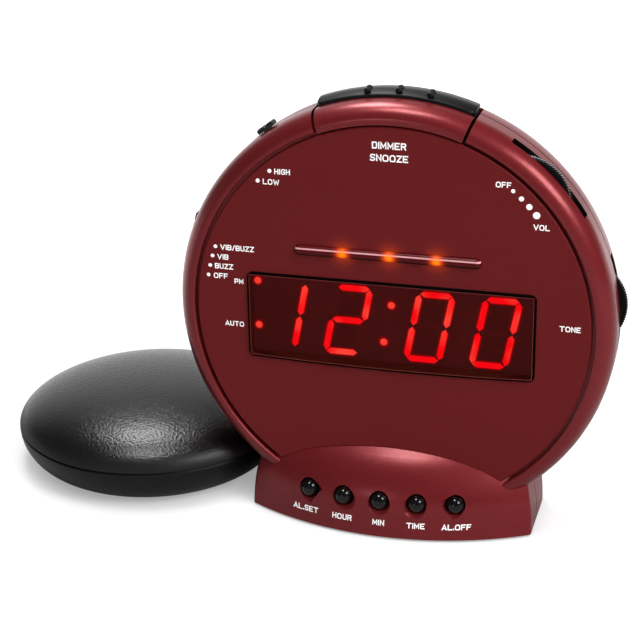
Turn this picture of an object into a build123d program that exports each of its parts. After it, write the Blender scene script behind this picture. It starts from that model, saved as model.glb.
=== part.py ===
"""A bed shaker alarm clock: a drum-shaped clock on a moulded foot, and the bed shaker beside it.

Sizes are in millimetres. X runs to the right as the clock is seen from the front, Y runs back, Z runs up.
The origin is on the table, below the middle of the face plate's front. Heights on the face are measured
from the middle of the face, and places on the rim by an angle from +X towards +Z.
"""
import math
import os

from build123d import *

# Drum: the round part of the case
RIM_R = 68.45  # largest radius of the drum
DRUM_LIFT = 0.05  # lowest point of the drum above the table
RIM_LAND = 0.7  # width of the rim's front flat
RIM_PROUD = 0.4  # rim's front flat in front of the face plate
SHOULDER_W = 5.25  # from the front flat out to the largest radius
SHOULDER_DEPTH = 7.0
CROWN_START = 13.6  # depth at which the back starts to round in
CROWN_W = 13.85  # how far it rounds in
BACK_Y = 31.6
PARTING_Y = 12.0  # front and rear case meet here
SEAM_W = 0.45  # groove that shows where they meet
SEAM_DEPTH = 0.5
WALL = 2.2

# Foot: its front is swept about an upright axis behind the clock, its sides bulge like a barrel
SWEEP_Y = 77.0
TOE_R = 89.1
KNUCKLE_R = 86.6
KNUCKLE_Z = 18.4
KNUCKLE_ROUND = 22.0
BROW_SLOPE = 37.5  # degrees from level, where the foot's front leans back to the face
FOOT_TOP_DROP = 35.0  # top of the foot, inside the drum, below the middle of the face
SIDE_HALF_W = 45.4
BARREL_R = 55.0
BARREL_Z = 2.0
BACK_CORNER_R = 8.0
FRONT_EDGE_R = 1.5
BASE_GAP = 0.7  # the case stands clear of the table by this much, on its sole
SOLE_INSET = 4.0
SOLE_W = 5.0
SOLE_SUNK = 0.7
SOLE_CLEAR = 0.1

# Face plate and what shows in it
GROOVE_W = 1.0
EDGE_BEVEL = 0.35
FACE_T = 2.0
FRONT_WALL = 2.0
PLATE_GAP = 0.15
WINDOW_W = 90.0
WINDOW_H = 28.1
WINDOW_BOW = 1.0  # how far the lower edge bows down
WINDOW_Z = -1.25
WINDOW_PROUD = 0.7
WINDOW_R = 2.0
WINDOW_SEAT = 1.0
FIT = 0.1
BAR_W = 57.6
BAR_H = 3.2
BAR_X = -0.7
BAR_Z = 21.3
BAR_PROUD = 1.2
LED_R = 1.5
LED_PITCH = 14.5
LED_HOLE_CLEAR = 0.3

# Display
DISPLAY_GAP = 0.3
DISPLAY_RIGHT = 41.6
DISPLAY_EDGE = 0.25
DIGIT_H = 23.7
DIGIT_W = 12.5
DIGIT_X = -0.75  # middle of the four figures
DIGIT_Z = -1.45
DIGIT_INNER_X = 12.8
DIGIT_OUTER_X = 33.2
DIGIT_SLANT = 11.0
STROKE = 2.3
SEGMENT_GAP = 0.35
SEGMENT_T = 0.7
COLON_X = -1.0
COLON_DZ = 6.15
DOT_R = 1.1
FLAG_X = -42.25
FLAG_ZS = (9.2, -5.6)

# Main board
BOARD_INSET = 8.45  # from the largest radius of the drum in to the board's edge
BOARD_T = 1.6
BOARD_LOW = -15.5
BOARD_SIDE_GAP = 2.0  # from the window's side to the screws beside it
BOARD_SIDE_Z = -11.0
BOARD_TOP_X = 22.0
BOARD_TOP_Z = 38.0
BOARD_BOSS_R = 2.8
BOARD_SCREW_R = 1.0
BOARD_SCREW_L = 5.5
BOARD_HEAD_R = 2.0
BOARD_HEAD_T = 1.4
PILOT_CLEAR = 0.05

# Volume and tone wheels
WHEEL_R = 14.1
WHEEL_T = 2.8
WHEEL_GAP = 0.5
WHEEL_TEETH = 80
TOOTH_H = 0.4
VOLUME_ANGLE = 45.5
VOLUME_PROUD = 1.5
TONE_ANGLE = 6.2
TONE_PROUD = 2.35
SLOT_L = 31.0
SLOT_SIDE = 0.25
POT_R = 5.5
POT_T = 2.6
POT_GAP = 0.4
POT_SHAFT_R = 2.0
POT_SHAFT_L = 1.8
RUN_CLEAR = 0.05

# Slide knobs on the rim
KNOB_L = 6.0
KNOB_W = 3.2
KNOB_PROUD = 1.75
KNOB_NOTCH = 0.6
NECK_L = 2.4
NECK_W = 2.0
NECK_CLEAR = 0.3
SHIELD_L = 6.0
SHIELD_W = 3.6
SHIELD_T = 0.8
SHIELD_DROP = 1.3
LEVEL_ANGLE = 126.8
LEVEL_Y = 8.4
LEVEL_TRAVEL = 4.0
MODE_ANGLE = 164.7
MODE_Y = 15.0
MODE_TRAVEL = 9.0
SWITCH_DROP = 6.25  # top of a switch below the rim
SWITCH_H = 4.6
SWITCH_EXTRA_L = 5.0
SWITCH_AIR = 0.3

# Snooze bar
SNOOZE_HALF = 20.4  # degrees each side of the top
SNOOZE_GAP = 0.8  # degrees of gap at each end
SNOOZE_BACK = 18.6
SNOOZE_LIP_GAP = 0.65  # between its lower edge and the face plate
SNOOZE_TRAVEL = 0.5
SNOOZE_AIR = 0.5
PAD_HALF = 20.3
PAD_FRONT = 7.1
PAD_BACK = 17.2
PAD_SUNK = 0.85  # pad's underside below the rim
PAD_EDGE_PROUD = 0.9
PAD_TOP_PROUD = 1.95
PAD_CORNER_R = 2.0
PAD_ROUND = 0.8
BUMP_R = 1.05
BUMP_MIDDLE = 0.8  # degrees to the right of the top
BUMP_ANGLE = 7.8
BUMP_YS = (8.3, 11.2)
PLUNGER_W = 5.0
SNOOZE_SWITCH_W = 6.0
SNOOZE_SWITCH_H = 4.0
SNOOZE_PIN_R = 1.5
SNOOZE_PIN_H = 1.0
SNOOZE_SWITCH_DROP = 16.95  # its underside below the rim

# Push buttons in the foot
BUTTON_R = 2.8
BUTTON_Z = 12.0
BUTTON_PITCH = 11.75
BUTTON_X = -0.9  # middle of the row
BUTTON_SUNK = 1.1  # middle of each ball behind the foot's surface
BUTTON_CLEAR = 0.45
BUTTON_BEVEL = 0.45
BUTTON_TRAVEL = 0.7
BUTTON_AIR = 0.2
FLANGE_R = 3.7
FLANGE_T = 0.8
FLANGE_GAP = 0.3
FLANGE_ROOM = 1.4  # for the rounding of the foot's inside, over the flanges
STEM_R = 1.6
STEM_MIN = 0.6
TACT_W = 6.0
TACT_H = 3.5
TACT_PIN_R = 1.7
TACT_PIN_H = 1.5
BUTTON_BOARD_HALF_W = 34.0
BUTTON_BOARD_H = 11.0
BUTTON_BOSS_GAP = 0.6

# Case screws
SCREW_SPOTS = ((-15.0, 49.0), (15.0, 49.0), (-36.0, -34.0), (36.0, -34.0))
FOOT_SCREW_X = 38.6
FOOT_SCREW_Z = 10.0
BOSS_R = 3.3
SCREW_R = 1.25
SCREW_HEAD_R = 2.3
SCREW_HEAD_T = 1.8
SCREW_SEAT = 4.0  # plastic under the head
SCREW_BITE = 5.0
SCREW_CLEAR = 0.25

# Speaker
SPEAKER_Z = 16.0
SPEAKER_R = 28.5
SPEAKER_FLANGE_T = 2.0
SPEAKER_FLANGE_W = 3.5
BASKET_R = 17.0
BASKET_DEPTH = 8.0
CONE_T = 0.6
CONE_AIR = 0.4
CAP_R = 6.0
MAGNET_R = 16.0
MAGNET_T = 6.0
GRILLE_R = 22.0
GRILLE_SLOT = 2.4
GRILLE_PITCH = 4.8

# Backup battery, its tray and door
BATTERY_L = 48.5
BATTERY_T = 17.5
BATTERY_H = 26.5
BATTERY_CLEAR = 0.4
BATTERY_ROUND = 2.0
CLIP_T = 5.0
TRAY_WALL = 1.5
TRAY_Z = -31.0
DOOR_T = 2.0
DOOR_LEDGE = 1.3
DOOR_CLEAR = 0.3
DOOR_AIR = 1.6  # between battery and door
TAB_X = 15.0
TAB_W = 6.0
TAB_T = 1.15
TAB_REACH = 1.3
TAB_RISE = 1.2
TAB_CLEAR = 0.5
THUMB_R = 6.0
THUMB_DEPTH = 0.9

# Sockets in the back
SOCKET_X = 41.0
SOCKET_Z = -20.0
POWER_NOSE_R = 4.2
POWER_BORE_R = 3.1
POWER_BORE_L = 9.5
POWER_PIN_R = 1.0
POWER_BODY_W = 9.0
SHAKER_NOSE_R = 3.4
SHAKER_BORE_R = 1.8
SHAKER_BORE_L = 14.0
SHAKER_BODY_W = 8.0
SOCKET_END = 1.5

# Bed shaker
SHAKER_SIDE = -44.2  # its side towards the clock
SHAKER_Y = 30.5
SHAKER_R = 45.9
SHAKER_H = 27.6
SHAKER_SEAM_Z = 13.5
SHAKER_SOLE_R = 32.0
SHAKER_WALL = 2.5
SHAKER_SEAM_V = 0.5
DOME_ARC = 88.0  # degrees, the rest is a small flat on top
MOTOR_R = 10.0
MOTOR_L = 25.0
MOTOR_FLAT = 7.7
MOTOR_Z = 13.2
MOTOR_FRONT = -4.0  # end plate of the motor, along X from the shaker's middle
SHAFT_R = 1.0
SHAFT_IN = 8.0
WEIGHT_R = 9.5
WEIGHT_L = 11.0
WEIGHT_HUB_R = 3.0
WEIGHT_GAP = 2.0
WEIGHT_BORE_CLEAR = 0.02
CRADLE_T = 4.0
CRADLE_HALF_W = 13.5
CLAMP_T = 1.2
CLAMP_W = 8.0
CLAMP_EAR = 6.0
CLAMP_CLEAR = 0.1
SHELL_SCREW_INSET = 4.0  # from the edge of the flat sole
SHELL_BOSS_TOP = 6.0
GLAND_R = 3.6
GLAND_COLLAR_R = 4.6
GLAND_COLLAR_T = 2.0
GLAND_BORE_R = 2.0

# Values worked out from the sizes above
FACE_HEIGHT = RIM_R + DRUM_LIFT  # from the table to the middle of the face
DRUM_AXIS = Axis((0, 0, FACE_HEIGHT), (0, 1, 0))
RIM_FLAT_R = RIM_R - SHOULDER_W
RECESS_R = RIM_FLAT_R - RIM_LAND
FACE_R = RECESS_R - GROOVE_W
BACK_FLAT_R = RIM_R - CROWN_W
FOOT_TOP_Z = FACE_HEIGHT - FOOT_TOP_DROP
CAVITY_Y = FACE_T + FRONT_WALL
BACK_IN = BACK_Y - WALL
VOLUME_Y = CAVITY_Y + WHEEL_GAP
BOARD_Y = VOLUME_Y + WHEEL_T + POT_GAP + POT_T
BOARD_BACK = BOARD_Y + BOARD_T
BOARD_R = RIM_R - BOARD_INSET
TONE_Y = BOARD_BACK + WHEEL_GAP
SWITCH_TOP_R = RIM_R - SWITCH_DROP
SNOOZE_LIP_R = FACE_R + SNOOZE_LIP_GAP
SNOOZE_SWITCH_LOW = RIM_R - SNOOZE_SWITCH_DROP
PAD_BASE_R = RIM_R - PAD_SUNK
PAD_EDGE_R = RIM_R + PAD_EDGE_PROUD
PAD_TOP_R = RIM_R + PAD_TOP_PROUD
BUTTON_XS = [BUTTON_X + k * BUTTON_PITCH for k in (-2, -1, 0, 1, 2)]
BUTTON_BOSS_X = max(-BUTTON_XS[0], BUTTON_XS[-1]) + FLANGE_R + BOARD_BOSS_R + BUTTON_BOSS_GAP
SHAKER_X = SHAKER_SIDE - SHAKER_R
SHELL_SCREW_R = SHAKER_SOLE_R - SHELL_SCREW_INSET
FAR = 400.0


def block(x0, x1, y0, y1, z0, z1):
    """A box between two corners."""
    middle = Pos((x0 + x1) / 2, (y0 + y1) / 2, (z0 + z1) / 2)
    return middle * Box(x1 - x0, y1 - y0, z1 - z0)


def rod_y(radius, y0, y1, x=0.0, z=0.0):
    """A round bar that runs front to back."""
    return Pos(x, (y0 + y1) / 2, z) * Rot(90, 0, 0) * Cylinder(radius, y1 - y0)


def rod_x(radius, x0, x1, y=0.0, z=0.0):
    """A round bar that runs left to right."""
    return Pos((x0 + x1) / 2, y, z) * Rot(0, 90, 0) * Cylinder(radius, x1 - x0)


def rod_z(radius, z0, z1, x=0.0, y=0.0):
    """A round bar that stands upright."""
    return Pos(x, y, (z0 + z1) / 2) * Cylinder(radius, z1 - z0)


def turned(outline):
    """Turns an outline of radius and depth about the drum's axis."""
    return revolve(Plane.XY.offset(FACE_HEIGHT) * outline, DRUM_AXIS)


def closed(*curves):
    """A face bounded by the given curves, end to end."""
    edges = []
    for curve in curves:
        edges.extend(curve.edges())
    return make_face(edges)


def on_rim(angle):
    """A place on the drum's axis, with Z out along the angle, X along the rim and Y to the front."""
    a = math.radians(angle)
    along = (-math.sin(a), 0, math.cos(a))
    out = (math.cos(a), 0, math.sin(a))
    return Plane(origin=(0, 0, FACE_HEIGHT), x_dir=along, z_dir=out).location


def face_place(x, z):
    """A place on the face, measured from its middle."""
    return Pos(x, 0, FACE_HEIGHT + z)


def wedge(half_angle, depth):
    """Everything within an angle of straight up from the drum's axis, down to a depth."""
    a = math.radians(half_angle)
    side = FAR * math.tan(a)
    triangle = make_face(Polyline((0, 0), (side, FAR), (-side, FAR), close=True))
    return Pos(0, depth, FACE_HEIGHT) * extrude(Plane.XZ * triangle, amount=depth + 1)


# Case volumes
def drum(grow=0.0):
    """The drum's outside, moved outwards by an offset."""
    rim = RIM_R + grow
    front = RIM_PROUD + grow
    back = BACK_Y + grow
    shoulder = EllipticalCenterArc(
        (RIM_FLAT_R, SHOULDER_DEPTH), rim - RIM_FLAT_R, SHOULDER_DEPTH + front, start_angle=270, arc_size=90
    )
    side = Line((rim, SHOULDER_DEPTH), (rim, CROWN_START))
    crown = EllipticalCenterArc(
        (BACK_FLAT_R, CROWN_START), rim - BACK_FLAT_R, back - CROWN_START, start_angle=0, arc_size=90
    )
    rest = Polyline((BACK_FLAT_R, back), (0, back), (0, -front), (RIM_FLAT_R, -front))
    return turned(closed(shoulder, side, crown, rest))


def drum_inside():
    """The hollow of the drum, behind the wall that carries the face plate."""
    rim = RIM_R - WALL
    bevel = WALL / 2
    crown = EllipticalCenterArc(
        (BACK_FLAT_R, CROWN_START), rim - BACK_FLAT_R, BACK_IN - CROWN_START, start_angle=0, arc_size=90
    )
    rest = Polyline(
        (BACK_FLAT_R, BACK_IN), (0, BACK_IN), (0, CAVITY_Y), (rim - bevel, CAVITY_Y),
        (rim, CAVITY_Y + bevel), (rim, CROWN_START),
    )
    return turned(closed(crown, rest))


def barrel_half_width(z, grow=0.0):
    """Half the foot's width at a height."""
    return SIDE_HALF_W + grow - BARREL_R + math.sqrt(BARREL_R**2 - (z - BARREL_Z) ** 2)


def toe_radius(z, grow=0.0):
    """Radius of the foot's upright front about its sweep axis, at a height below the knuckle."""
    share = (z - BASE_GAP + grow) / (KNUCKLE_Z - BASE_GAP + 2 * grow)
    return TOE_R + grow + (KNUCKLE_R - TOE_R) * share


def toe_y(x, z, grow=0.0):
    """Depth of the foot's upright front at a place."""
    return SWEEP_Y - math.sqrt(toe_radius(z, grow) ** 2 - x**2)


def foot(grow=0.0):
    """The foot's outside, moved outwards by an offset; its upper part lies inside the drum."""
    low = BASE_GAP - grow
    top = FOOT_TOP_Z + grow
    knuckle = (KNUCKLE_R + grow, KNUCKLE_Z + grow)
    lean = (top - knuckle[1]) / math.tan(math.radians(BROW_SLOPE))
    brow = (knuckle[0] - lean, top)
    front = FilletPolyline((TOE_R + grow, low), knuckle, brow, radius=KNUCKLE_ROUND + grow)
    rest = Polyline(brow, (0, top), (0, low), (TOE_R + grow, low))
    sweep_plane = Plane(origin=(0, SWEEP_Y, 0), x_dir=(1, 0, 0), z_dir=(0, -1, 0))
    swept = revolve(sweep_plane * closed(front, rest), Axis((0, SWEEP_Y, 0), (0, 0, 1)))

    middle = (low + top) / 2
    right = ThreePointArc(
        (barrel_half_width(low, grow), low),
        (barrel_half_width(middle, grow), middle),
        (barrel_half_width(top, grow), top),
    )
    left = mirror(right, about=Plane.YZ)
    bottom = Line((-barrel_half_width(low, grow), low), (barrel_half_width(low, grow), low))
    lid = Line((-barrel_half_width(top, grow), top), (barrel_half_width(top, grow), top))
    back = BACK_Y + grow
    prism = Pos(0, back, 0) * extrude(Plane.XZ * closed(right, lid, left, bottom), amount=back + TOE_R)
    corners = [
        e for e in prism.edges()
        if abs(e.center().Y - back) < 0.01 and abs(e.center().X) > SIDE_HALF_W / 2
    ]
    prism = fillet(corners, BACK_CORNER_R + grow)
    return prism & swept


def sole_outline(inset):
    """The foot's outline on the table, drawn in by an inset."""
    back = BACK_Y - inset
    length = back + TOE_R
    strip = Pos(0, back - length / 2) * Rectangle(2 * (barrel_half_width(BASE_GAP) - inset), length)
    strip = fillet(strip.vertices().sort_by(Axis.Y)[-2:], max(BACK_CORNER_R - inset, 1.0))
    return strip & Pos(0, SWEEP_Y) * Circle(TOE_R - inset)


outer_foot = foot()
foot_edges = [
    e for e in outer_foot.edges()
    if e.center().Y < BACK_Y / 2 and abs(e.center().X) > SIDE_HALF_W * 0.7 and e.bounding_box().size.Z > 2
]
outer = drum() + fillet(foot_edges, FRONT_EDGE_R)
inside = drum_inside() + foot(-WALL)
seam = (outer - drum(-SEAM_DEPTH) - foot(-SEAM_DEPTH)) & block(
    -FAR, FAR, PARTING_Y - SEAM_W / 2, PARTING_Y + SEAM_W / 2, -FAR, FAR
)
snooze_hole = wedge(SNOOZE_HALF + SNOOZE_GAP, SNOOZE_BACK + SNOOZE_AIR) - rod_y(
    SNOOZE_LIP_R - SNOOZE_TRAVEL - SNOOZE_AIR, -FAR, FAR, 0, FACE_HEIGHT
)
sole_groove = extrude(
    sole_outline(SOLE_INSET - SOLE_CLEAR) - sole_outline(SOLE_INSET + SOLE_W + SOLE_CLEAR),
    amount=BASE_GAP + SOLE_SUNK,
)
shell = outer - inside - seam - sole_groove - snooze_hole


# Slide knobs: a grip outside, a neck in the slot, a shield plate inside and a stem to the switch
def knob_slot(angle, depth, travel):
    """The slot in the rim that a knob's neck runs in."""
    length = NECK_L + travel + 2 * NECK_CLEAR
    return on_rim(angle) * Pos(0, -depth, RIM_R) * Box(length, NECK_W + 2 * NECK_CLEAR, 4 * WALL)


def slide_knob(angle, depth, travel):
    """A slide knob at the first end of its travel."""
    grip_low = RIM_R + NECK_CLEAR
    grip_top = RIM_R + KNOB_PROUD
    grip = Pos(0, 0, (grip_low + grip_top) / 2) * Box(KNOB_L, KNOB_W, grip_top - grip_low)
    grip = fillet(grip.faces().sort_by(Axis.Z)[-1].edges(), KNOB_NOTCH)
    grip -= Pos(0, 0, grip_top) * Rot(90, 0, 0) * Cylinder(KNOB_NOTCH, 2 * KNOB_W)
    shield_top = RIM_R - WALL - SHIELD_DROP
    stem_low = SWITCH_TOP_R + SWITCH_AIR
    neck = Pos(0, 0, (grip_low + stem_low) / 2) * Box(NECK_L, NECK_W, grip_low - stem_low)
    shield = Pos(0, 0, shield_top - SHIELD_T / 2) * Box(SHIELD_L, SHIELD_W, SHIELD_T)
    return on_rim(angle) * Pos(-travel / 2, -depth, 0) * (grip + neck + shield)


def slide_switch(angle, y0, y1, travel):
    """The switch body on the board under a slide knob."""
    place = Pos(0, -(y0 + y1) / 2, SWITCH_TOP_R - SWITCH_H / 2)
    return on_rim(angle) * place * Box(NECK_L + travel + SWITCH_EXTRA_L, y1 - y0, SWITCH_H)


# Screw bosses and screws
def screw_spots():
    """All case screws, in the drum and in the foot."""
    spots = [(x, FACE_HEIGHT + z) for x, z in SCREW_SPOTS]
    return spots + [(-FOOT_SCREW_X, FOOT_SCREW_Z), (FOOT_SCREW_X, FOOT_SCREW_Z)]


def board_spots():
    """Board screws: place and the depth of the board's back."""
    side = WINDOW_W / 2 + BOARD_SIDE_GAP
    spots = []
    for s in (-1, 1):
        spots.append((s * side, FACE_HEIGHT + BOARD_SIDE_Z, BOARD_BACK))
        spots.append((s * BOARD_TOP_X, FACE_HEIGHT + BOARD_TOP_Z, BOARD_BACK))
        spots.append((s * BUTTON_BOSS_X, BUTTON_Z, BUTTON_BOARD_Y + BOARD_T))
    return spots


def flange_y(x):
    """Depth of a button's flange, clear of the curved wall in front of it."""
    return toe_y(abs(x) + FLANGE_R, BUTTON_Z + FLANGE_R, -WALL) + FLANGE_GAP + FLANGE_ROOM


BUTTON_BOARD_Y = (
    flange_y(BUTTON_XS[0]) + FLANGE_T + STEM_MIN + BUTTON_TRAVEL + BUTTON_AIR + TACT_PIN_H + TACT_H
)


def wheel_place(angle, proud):
    """Middle of a thumb wheel, as X and Z."""
    a = math.radians(angle)
    r = RIM_R + proud - WHEEL_R
    return r * math.cos(a), FACE_HEIGHT + r * math.sin(a)


def wheel_slot(angle, y):
    """The slot in the rim that a thumb wheel shows through."""
    middle = Pos(0, -(y + WHEEL_T / 2), RIM_R)
    return on_rim(angle) * middle * Box(SLOT_L, WHEEL_T + 2 * SLOT_SIDE, 2 * WHEEL_R)


VOLUME_PLACE = wheel_place(VOLUME_ANGLE, VOLUME_PROUD)
TONE_PLACE = wheel_place(TONE_ANGLE, TONE_PROUD)
volume_slot = wheel_slot(VOLUME_ANGLE, VOLUME_Y)
tone_slot = wheel_slot(TONE_ANGLE, TONE_Y)


# Front case
def face_recess():
    """The round recess that the face plate lies in, its mouth opened by a small bevel."""
    outline = Polyline(
        (0, FACE_T), (RECESS_R, FACE_T), (RECESS_R, EDGE_BEVEL - RIM_PROUD),
        (RECESS_R + EDGE_BEVEL, -RIM_PROUD), (RECESS_R + EDGE_BEVEL, -1 - RIM_PROUD),
        (0, -1 - RIM_PROUD), close=True,
    )
    return turned(make_face(outline))


def front_case():
    """Rim, wall behind the face plate and front of the foot, in one moulding."""
    body = shell & block(-FAR, FAR, -FAR, PARTING_Y, -FAR, FAR)
    body -= face_recess() - outer_foot
    bosses = Part()
    for x, z in screw_spots():
        bosses += rod_y(BOSS_R, FACE_T, PARTING_Y, x, z)
    for x, z, back in board_spots():
        start = FACE_T if back == BOARD_BACK else toe_y(x, z)
        bosses += rod_y(BOARD_BOSS_R, start, back - BOARD_T, x, z)
    body += bosses & outer
    for x, z in screw_spots():
        body -= rod_y(SCREW_R + PILOT_CLEAR, PARTING_Y - SCREW_BITE - 1, FAR, x, z)
    for x, z, back in board_spots():
        body -= rod_y(BOARD_SCREW_R + PILOT_CLEAR, back - BOARD_SCREW_L - 0.5, FAR, x, z)
    window = Box(WINDOW_W - 2 * WINDOW_SEAT, 2 * CAVITY_Y, WINDOW_H - 2 * WINDOW_SEAT)
    body -= face_place(0, WINDOW_Z) * window
    for k in (-1, 0, 1):
        x = BAR_X + k * LED_PITCH
        body -= rod_y(LED_R + LED_HOLE_CLEAR, 0, CAVITY_Y + 1, x, FACE_HEIGHT + BAR_Z)
    body -= volume_slot
    body -= tone_slot
    body -= knob_slot(LEVEL_ANGLE, LEVEL_Y, LEVEL_TRAVEL)
    hole_r = BUTTON_R + BUTTON_CLEAR
    for x in BUTTON_XS:
        surface = toe_y(x, BUTTON_Z)
        body -= rod_y(hole_r, surface - 3 * WALL, surface + 2 * WALL, x, BUTTON_Z)
        bevel = Cone(hole_r, hole_r + 3 * BUTTON_BEVEL, 3 * BUTTON_BEVEL)
        body -= Pos(x, surface - 0.5 * BUTTON_BEVEL, BUTTON_Z) * Rot(90, 0, 0) * bevel
    return body


# Rear case
def tray_box(extra, y0, y1):
    """A box round the battery's space, grown by an extra on its four sides."""
    half_l = (BATTERY_L + CLIP_T) / 2 + BATTERY_CLEAR + extra
    half_h = BATTERY_H / 2 + BATTERY_CLEAR + extra
    middle = FACE_HEIGHT + TRAY_Z
    return block(-half_l, half_l, y0, y1, middle - half_h, middle + half_h)


BATTERY_BACK = BACK_Y - DOOR_T - DOOR_AIR
BATTERY_FRONT = BATTERY_BACK - BATTERY_T
DOOR_LOW = FACE_HEIGHT + TRAY_Z - BATTERY_H / 2 - BATTERY_CLEAR - DOOR_LEDGE + DOOR_CLEAR


def tab_box(grow):
    """Room for one of the door's two hook tabs, on the right; grown by a clearance."""
    y1 = BACK_IN - FIT
    return block(
        TAB_X - TAB_W / 2 - grow, TAB_X + TAB_W / 2 + grow,
        y1 - TAB_T - 3 * grow, y1, DOOR_LOW - TAB_REACH - grow, DOOR_LOW + TAB_RISE + 2 * grow,
    )


def tab_root(grow, back):
    """The part of a tab that joins its hook to the door, grown by a clearance."""
    front = BACK_IN - FIT - TAB_T
    low = DOOR_LOW - min(grow, DOOR_CLEAR)
    half = TAB_W / 2 + grow
    return block(TAB_X - half, TAB_X + half, front, back, low, DOOR_LOW + TAB_RISE + 2 * grow)


def rear_case():
    """Back of the drum and of the foot, with grille, battery tray, socket holes and screw wells."""
    body = shell & block(-FAR, FAR, PARTING_Y, FAR, -FAR, FAR)
    tray_front = BATTERY_FRONT - FIT
    body += tray_box(TRAY_WALL, tray_front - TRAY_WALL, BACK_IN)
    for x, z in screw_spots():
        body += rod_y(BOSS_R, PARTING_Y, BACK_IN + WALL / 2, x, z)
    body -= tray_box(0, tray_front, FAR)
    body -= tray_box(DOOR_LEDGE, BACK_IN, FAR)
    room = tab_box(TAB_CLEAR) + tab_root(TAB_CLEAR, BACK_IN)
    body -= room
    body -= mirror(room, about=Plane.YZ)
    for x, z in screw_spots():
        body -= rod_y(SCREW_R + SCREW_CLEAR, 0, FAR, x, z)
        body -= rod_y(SCREW_HEAD_R + SCREW_CLEAR, PARTING_Y + SCREW_SEAT, FAR, x, z)
    rows = int(GRILLE_R / GRILLE_PITCH)
    for k in range(-rows, rows + 1):
        half = math.sqrt(GRILLE_R**2 - (k * GRILLE_PITCH) ** 2)
        slot = Plane.XZ * SlotOverall(2 * half, GRILLE_SLOT)
        row = Pos(0, 2 * BACK_Y, FACE_HEIGHT + SPEAKER_Z + k * GRILLE_PITCH)
        body -= row * extrude(slot, amount=2 * BACK_Y - BACK_IN + 1)
    body -= rod_y(POWER_NOSE_R + FIT, BACK_IN - 1, FAR, -SOCKET_X, FACE_HEIGHT + SOCKET_Z)
    body -= rod_y(SHAKER_NOSE_R + FIT, BACK_IN - 1, FAR, SOCKET_X, FACE_HEIGHT + SOCKET_Z)
    body -= knob_slot(MODE_ANGLE, MODE_Y, MODE_TRAVEL)
    return body - tone_slot


def rubber_sole():
    """A non-slip ring let into the underside."""
    ring = sole_outline(SOLE_INSET) - sole_outline(SOLE_INSET + SOLE_W)
    return extrude(ring, amount=BASE_GAP + SOLE_SUNK)


# Face
def face_plate():
    """The flat painted disc, cut out for the window and the light bar and cut off along the foot."""
    outline = Polyline(
        (0, 0), (FACE_R - EDGE_BEVEL, 0), (FACE_R, EDGE_BEVEL), (FACE_R, FACE_T), (0, FACE_T), close=True
    )
    plate = turned(make_face(outline)) - foot(PLATE_GAP)
    window = window_outline(FIT)
    plate -= face_place(0, WINDOW_Z) * extrude(Plane.XZ * window, amount=FAR, both=True)
    bar = SlotOverall(BAR_W + 2 * FIT, BAR_H + 2 * FIT)
    plate -= face_place(BAR_X, BAR_Z) * extrude(Plane.XZ * bar, amount=FAR, both=True)
    return plate


def window_outline(extra=0.0):
    """The window's outline, grown by an extra; its lower edge bows down a little."""
    w = WINDOW_W / 2 + extra
    h = WINDOW_H / 2 + extra
    bow = ThreePointArc((-w, -h), (0, -h - WINDOW_BOW), (w, -h))
    rest = Polyline((w, -h), (w, h), (-w, h), (-w, -h))
    shape = closed(bow, rest)
    return fillet(shape.vertices(), WINDOW_R)


def proud_lens(outline, proud, edge):
    """A lens that fills a hole in the face plate, seated on the wall behind, its front edge softened."""
    lens = Pos(0, FACE_T, 0) * extrude(Plane.XZ * outline, amount=FACE_T + proud)
    return fillet(lens.faces().sort_by(Axis.Y)[0].edges(), edge)


def display_window():
    """The dark red filter over the display."""
    return face_place(0, WINDOW_Z) * proud_lens(window_outline(), WINDOW_PROUD, WINDOW_PROUD * 0.7)


def light_bar_lens():
    """The clear red bar over the three alert lamps."""
    return face_place(BAR_X, BAR_Z) * proud_lens(SlotOverall(BAR_W, BAR_H), BAR_PROUD, BAR_PROUD * 0.95)


def alert_leds():
    """Three lamps on the board, their domes just behind the light bar."""
    lamps = Part()
    tip = FACE_T + DISPLAY_GAP
    for k in (-1, 0, 1):
        place = face_place(BAR_X + k * LED_PITCH, BAR_Z)
        lamp = rod_y(LED_R, tip + LED_R, BOARD_Y) + Pos(0, tip + LED_R, 0) * Sphere(LED_R)
        lamps += place * lamp
    return lamps


# Display
def bar_shape(length):
    """One segment of a digit, lying level, with mitred ends."""
    h = STROKE / 2
    e = length / 2
    outline = Polyline((-e, 0), (h - e, h), (e - h, h), (e, 0), (e - h, -h), (h - e, -h), close=True)
    return make_face(outline)


def segment_shapes():
    """All segments and dots of the display, as flat faces; the first figure can only be a one."""
    half_w = (DIGIT_W - STROKE) / 2
    half_h = (DIGIT_H - STROKE) / 2
    lean = math.tan(math.radians(DIGIT_SLANT))
    level = 2 * half_w - 2 * SEGMENT_GAP
    upright = half_h - 2 * SEGMENT_GAP
    shapes = []
    for place in (-DIGIT_INNER_X, DIGIT_INNER_X, DIGIT_OUTER_X):
        for z in (-half_h, 0, half_h):
            shapes.append(Pos(DIGIT_X + place + z * lean, z) * bar_shape(level))
    for place in (-DIGIT_OUTER_X, -DIGIT_INNER_X, DIGIT_INNER_X, DIGIT_OUTER_X):
        sides = (half_w,) if place == -DIGIT_OUTER_X else (-half_w, half_w)
        for x in sides:
            for z in (-half_h / 2, half_h / 2):
                spot = Pos(DIGIT_X + place + x + z * lean, z)
                shapes.append(spot * Rot(0, 0, 90 - DIGIT_SLANT) * bar_shape(upright))
    for z in (-COLON_DZ, COLON_DZ):
        shapes.append(Pos(COLON_X + z * lean, z) * Circle(DOT_R))
    for z in FLAG_ZS:
        shapes.append(Pos(FLAG_X, z - DIGIT_Z) * Circle(DOT_R))
    return shapes


def display_segments():
    """The light guides that make the figures, let into the display's front."""
    lights = Part()
    place = Pos(0, FACE_T + DISPLAY_GAP + SEGMENT_T, FACE_HEIGHT + DIGIT_Z)
    for shape in segment_shapes():
        lights += place * extrude(Plane.XZ * shape, amount=SEGMENT_T)
    return lights


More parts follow.
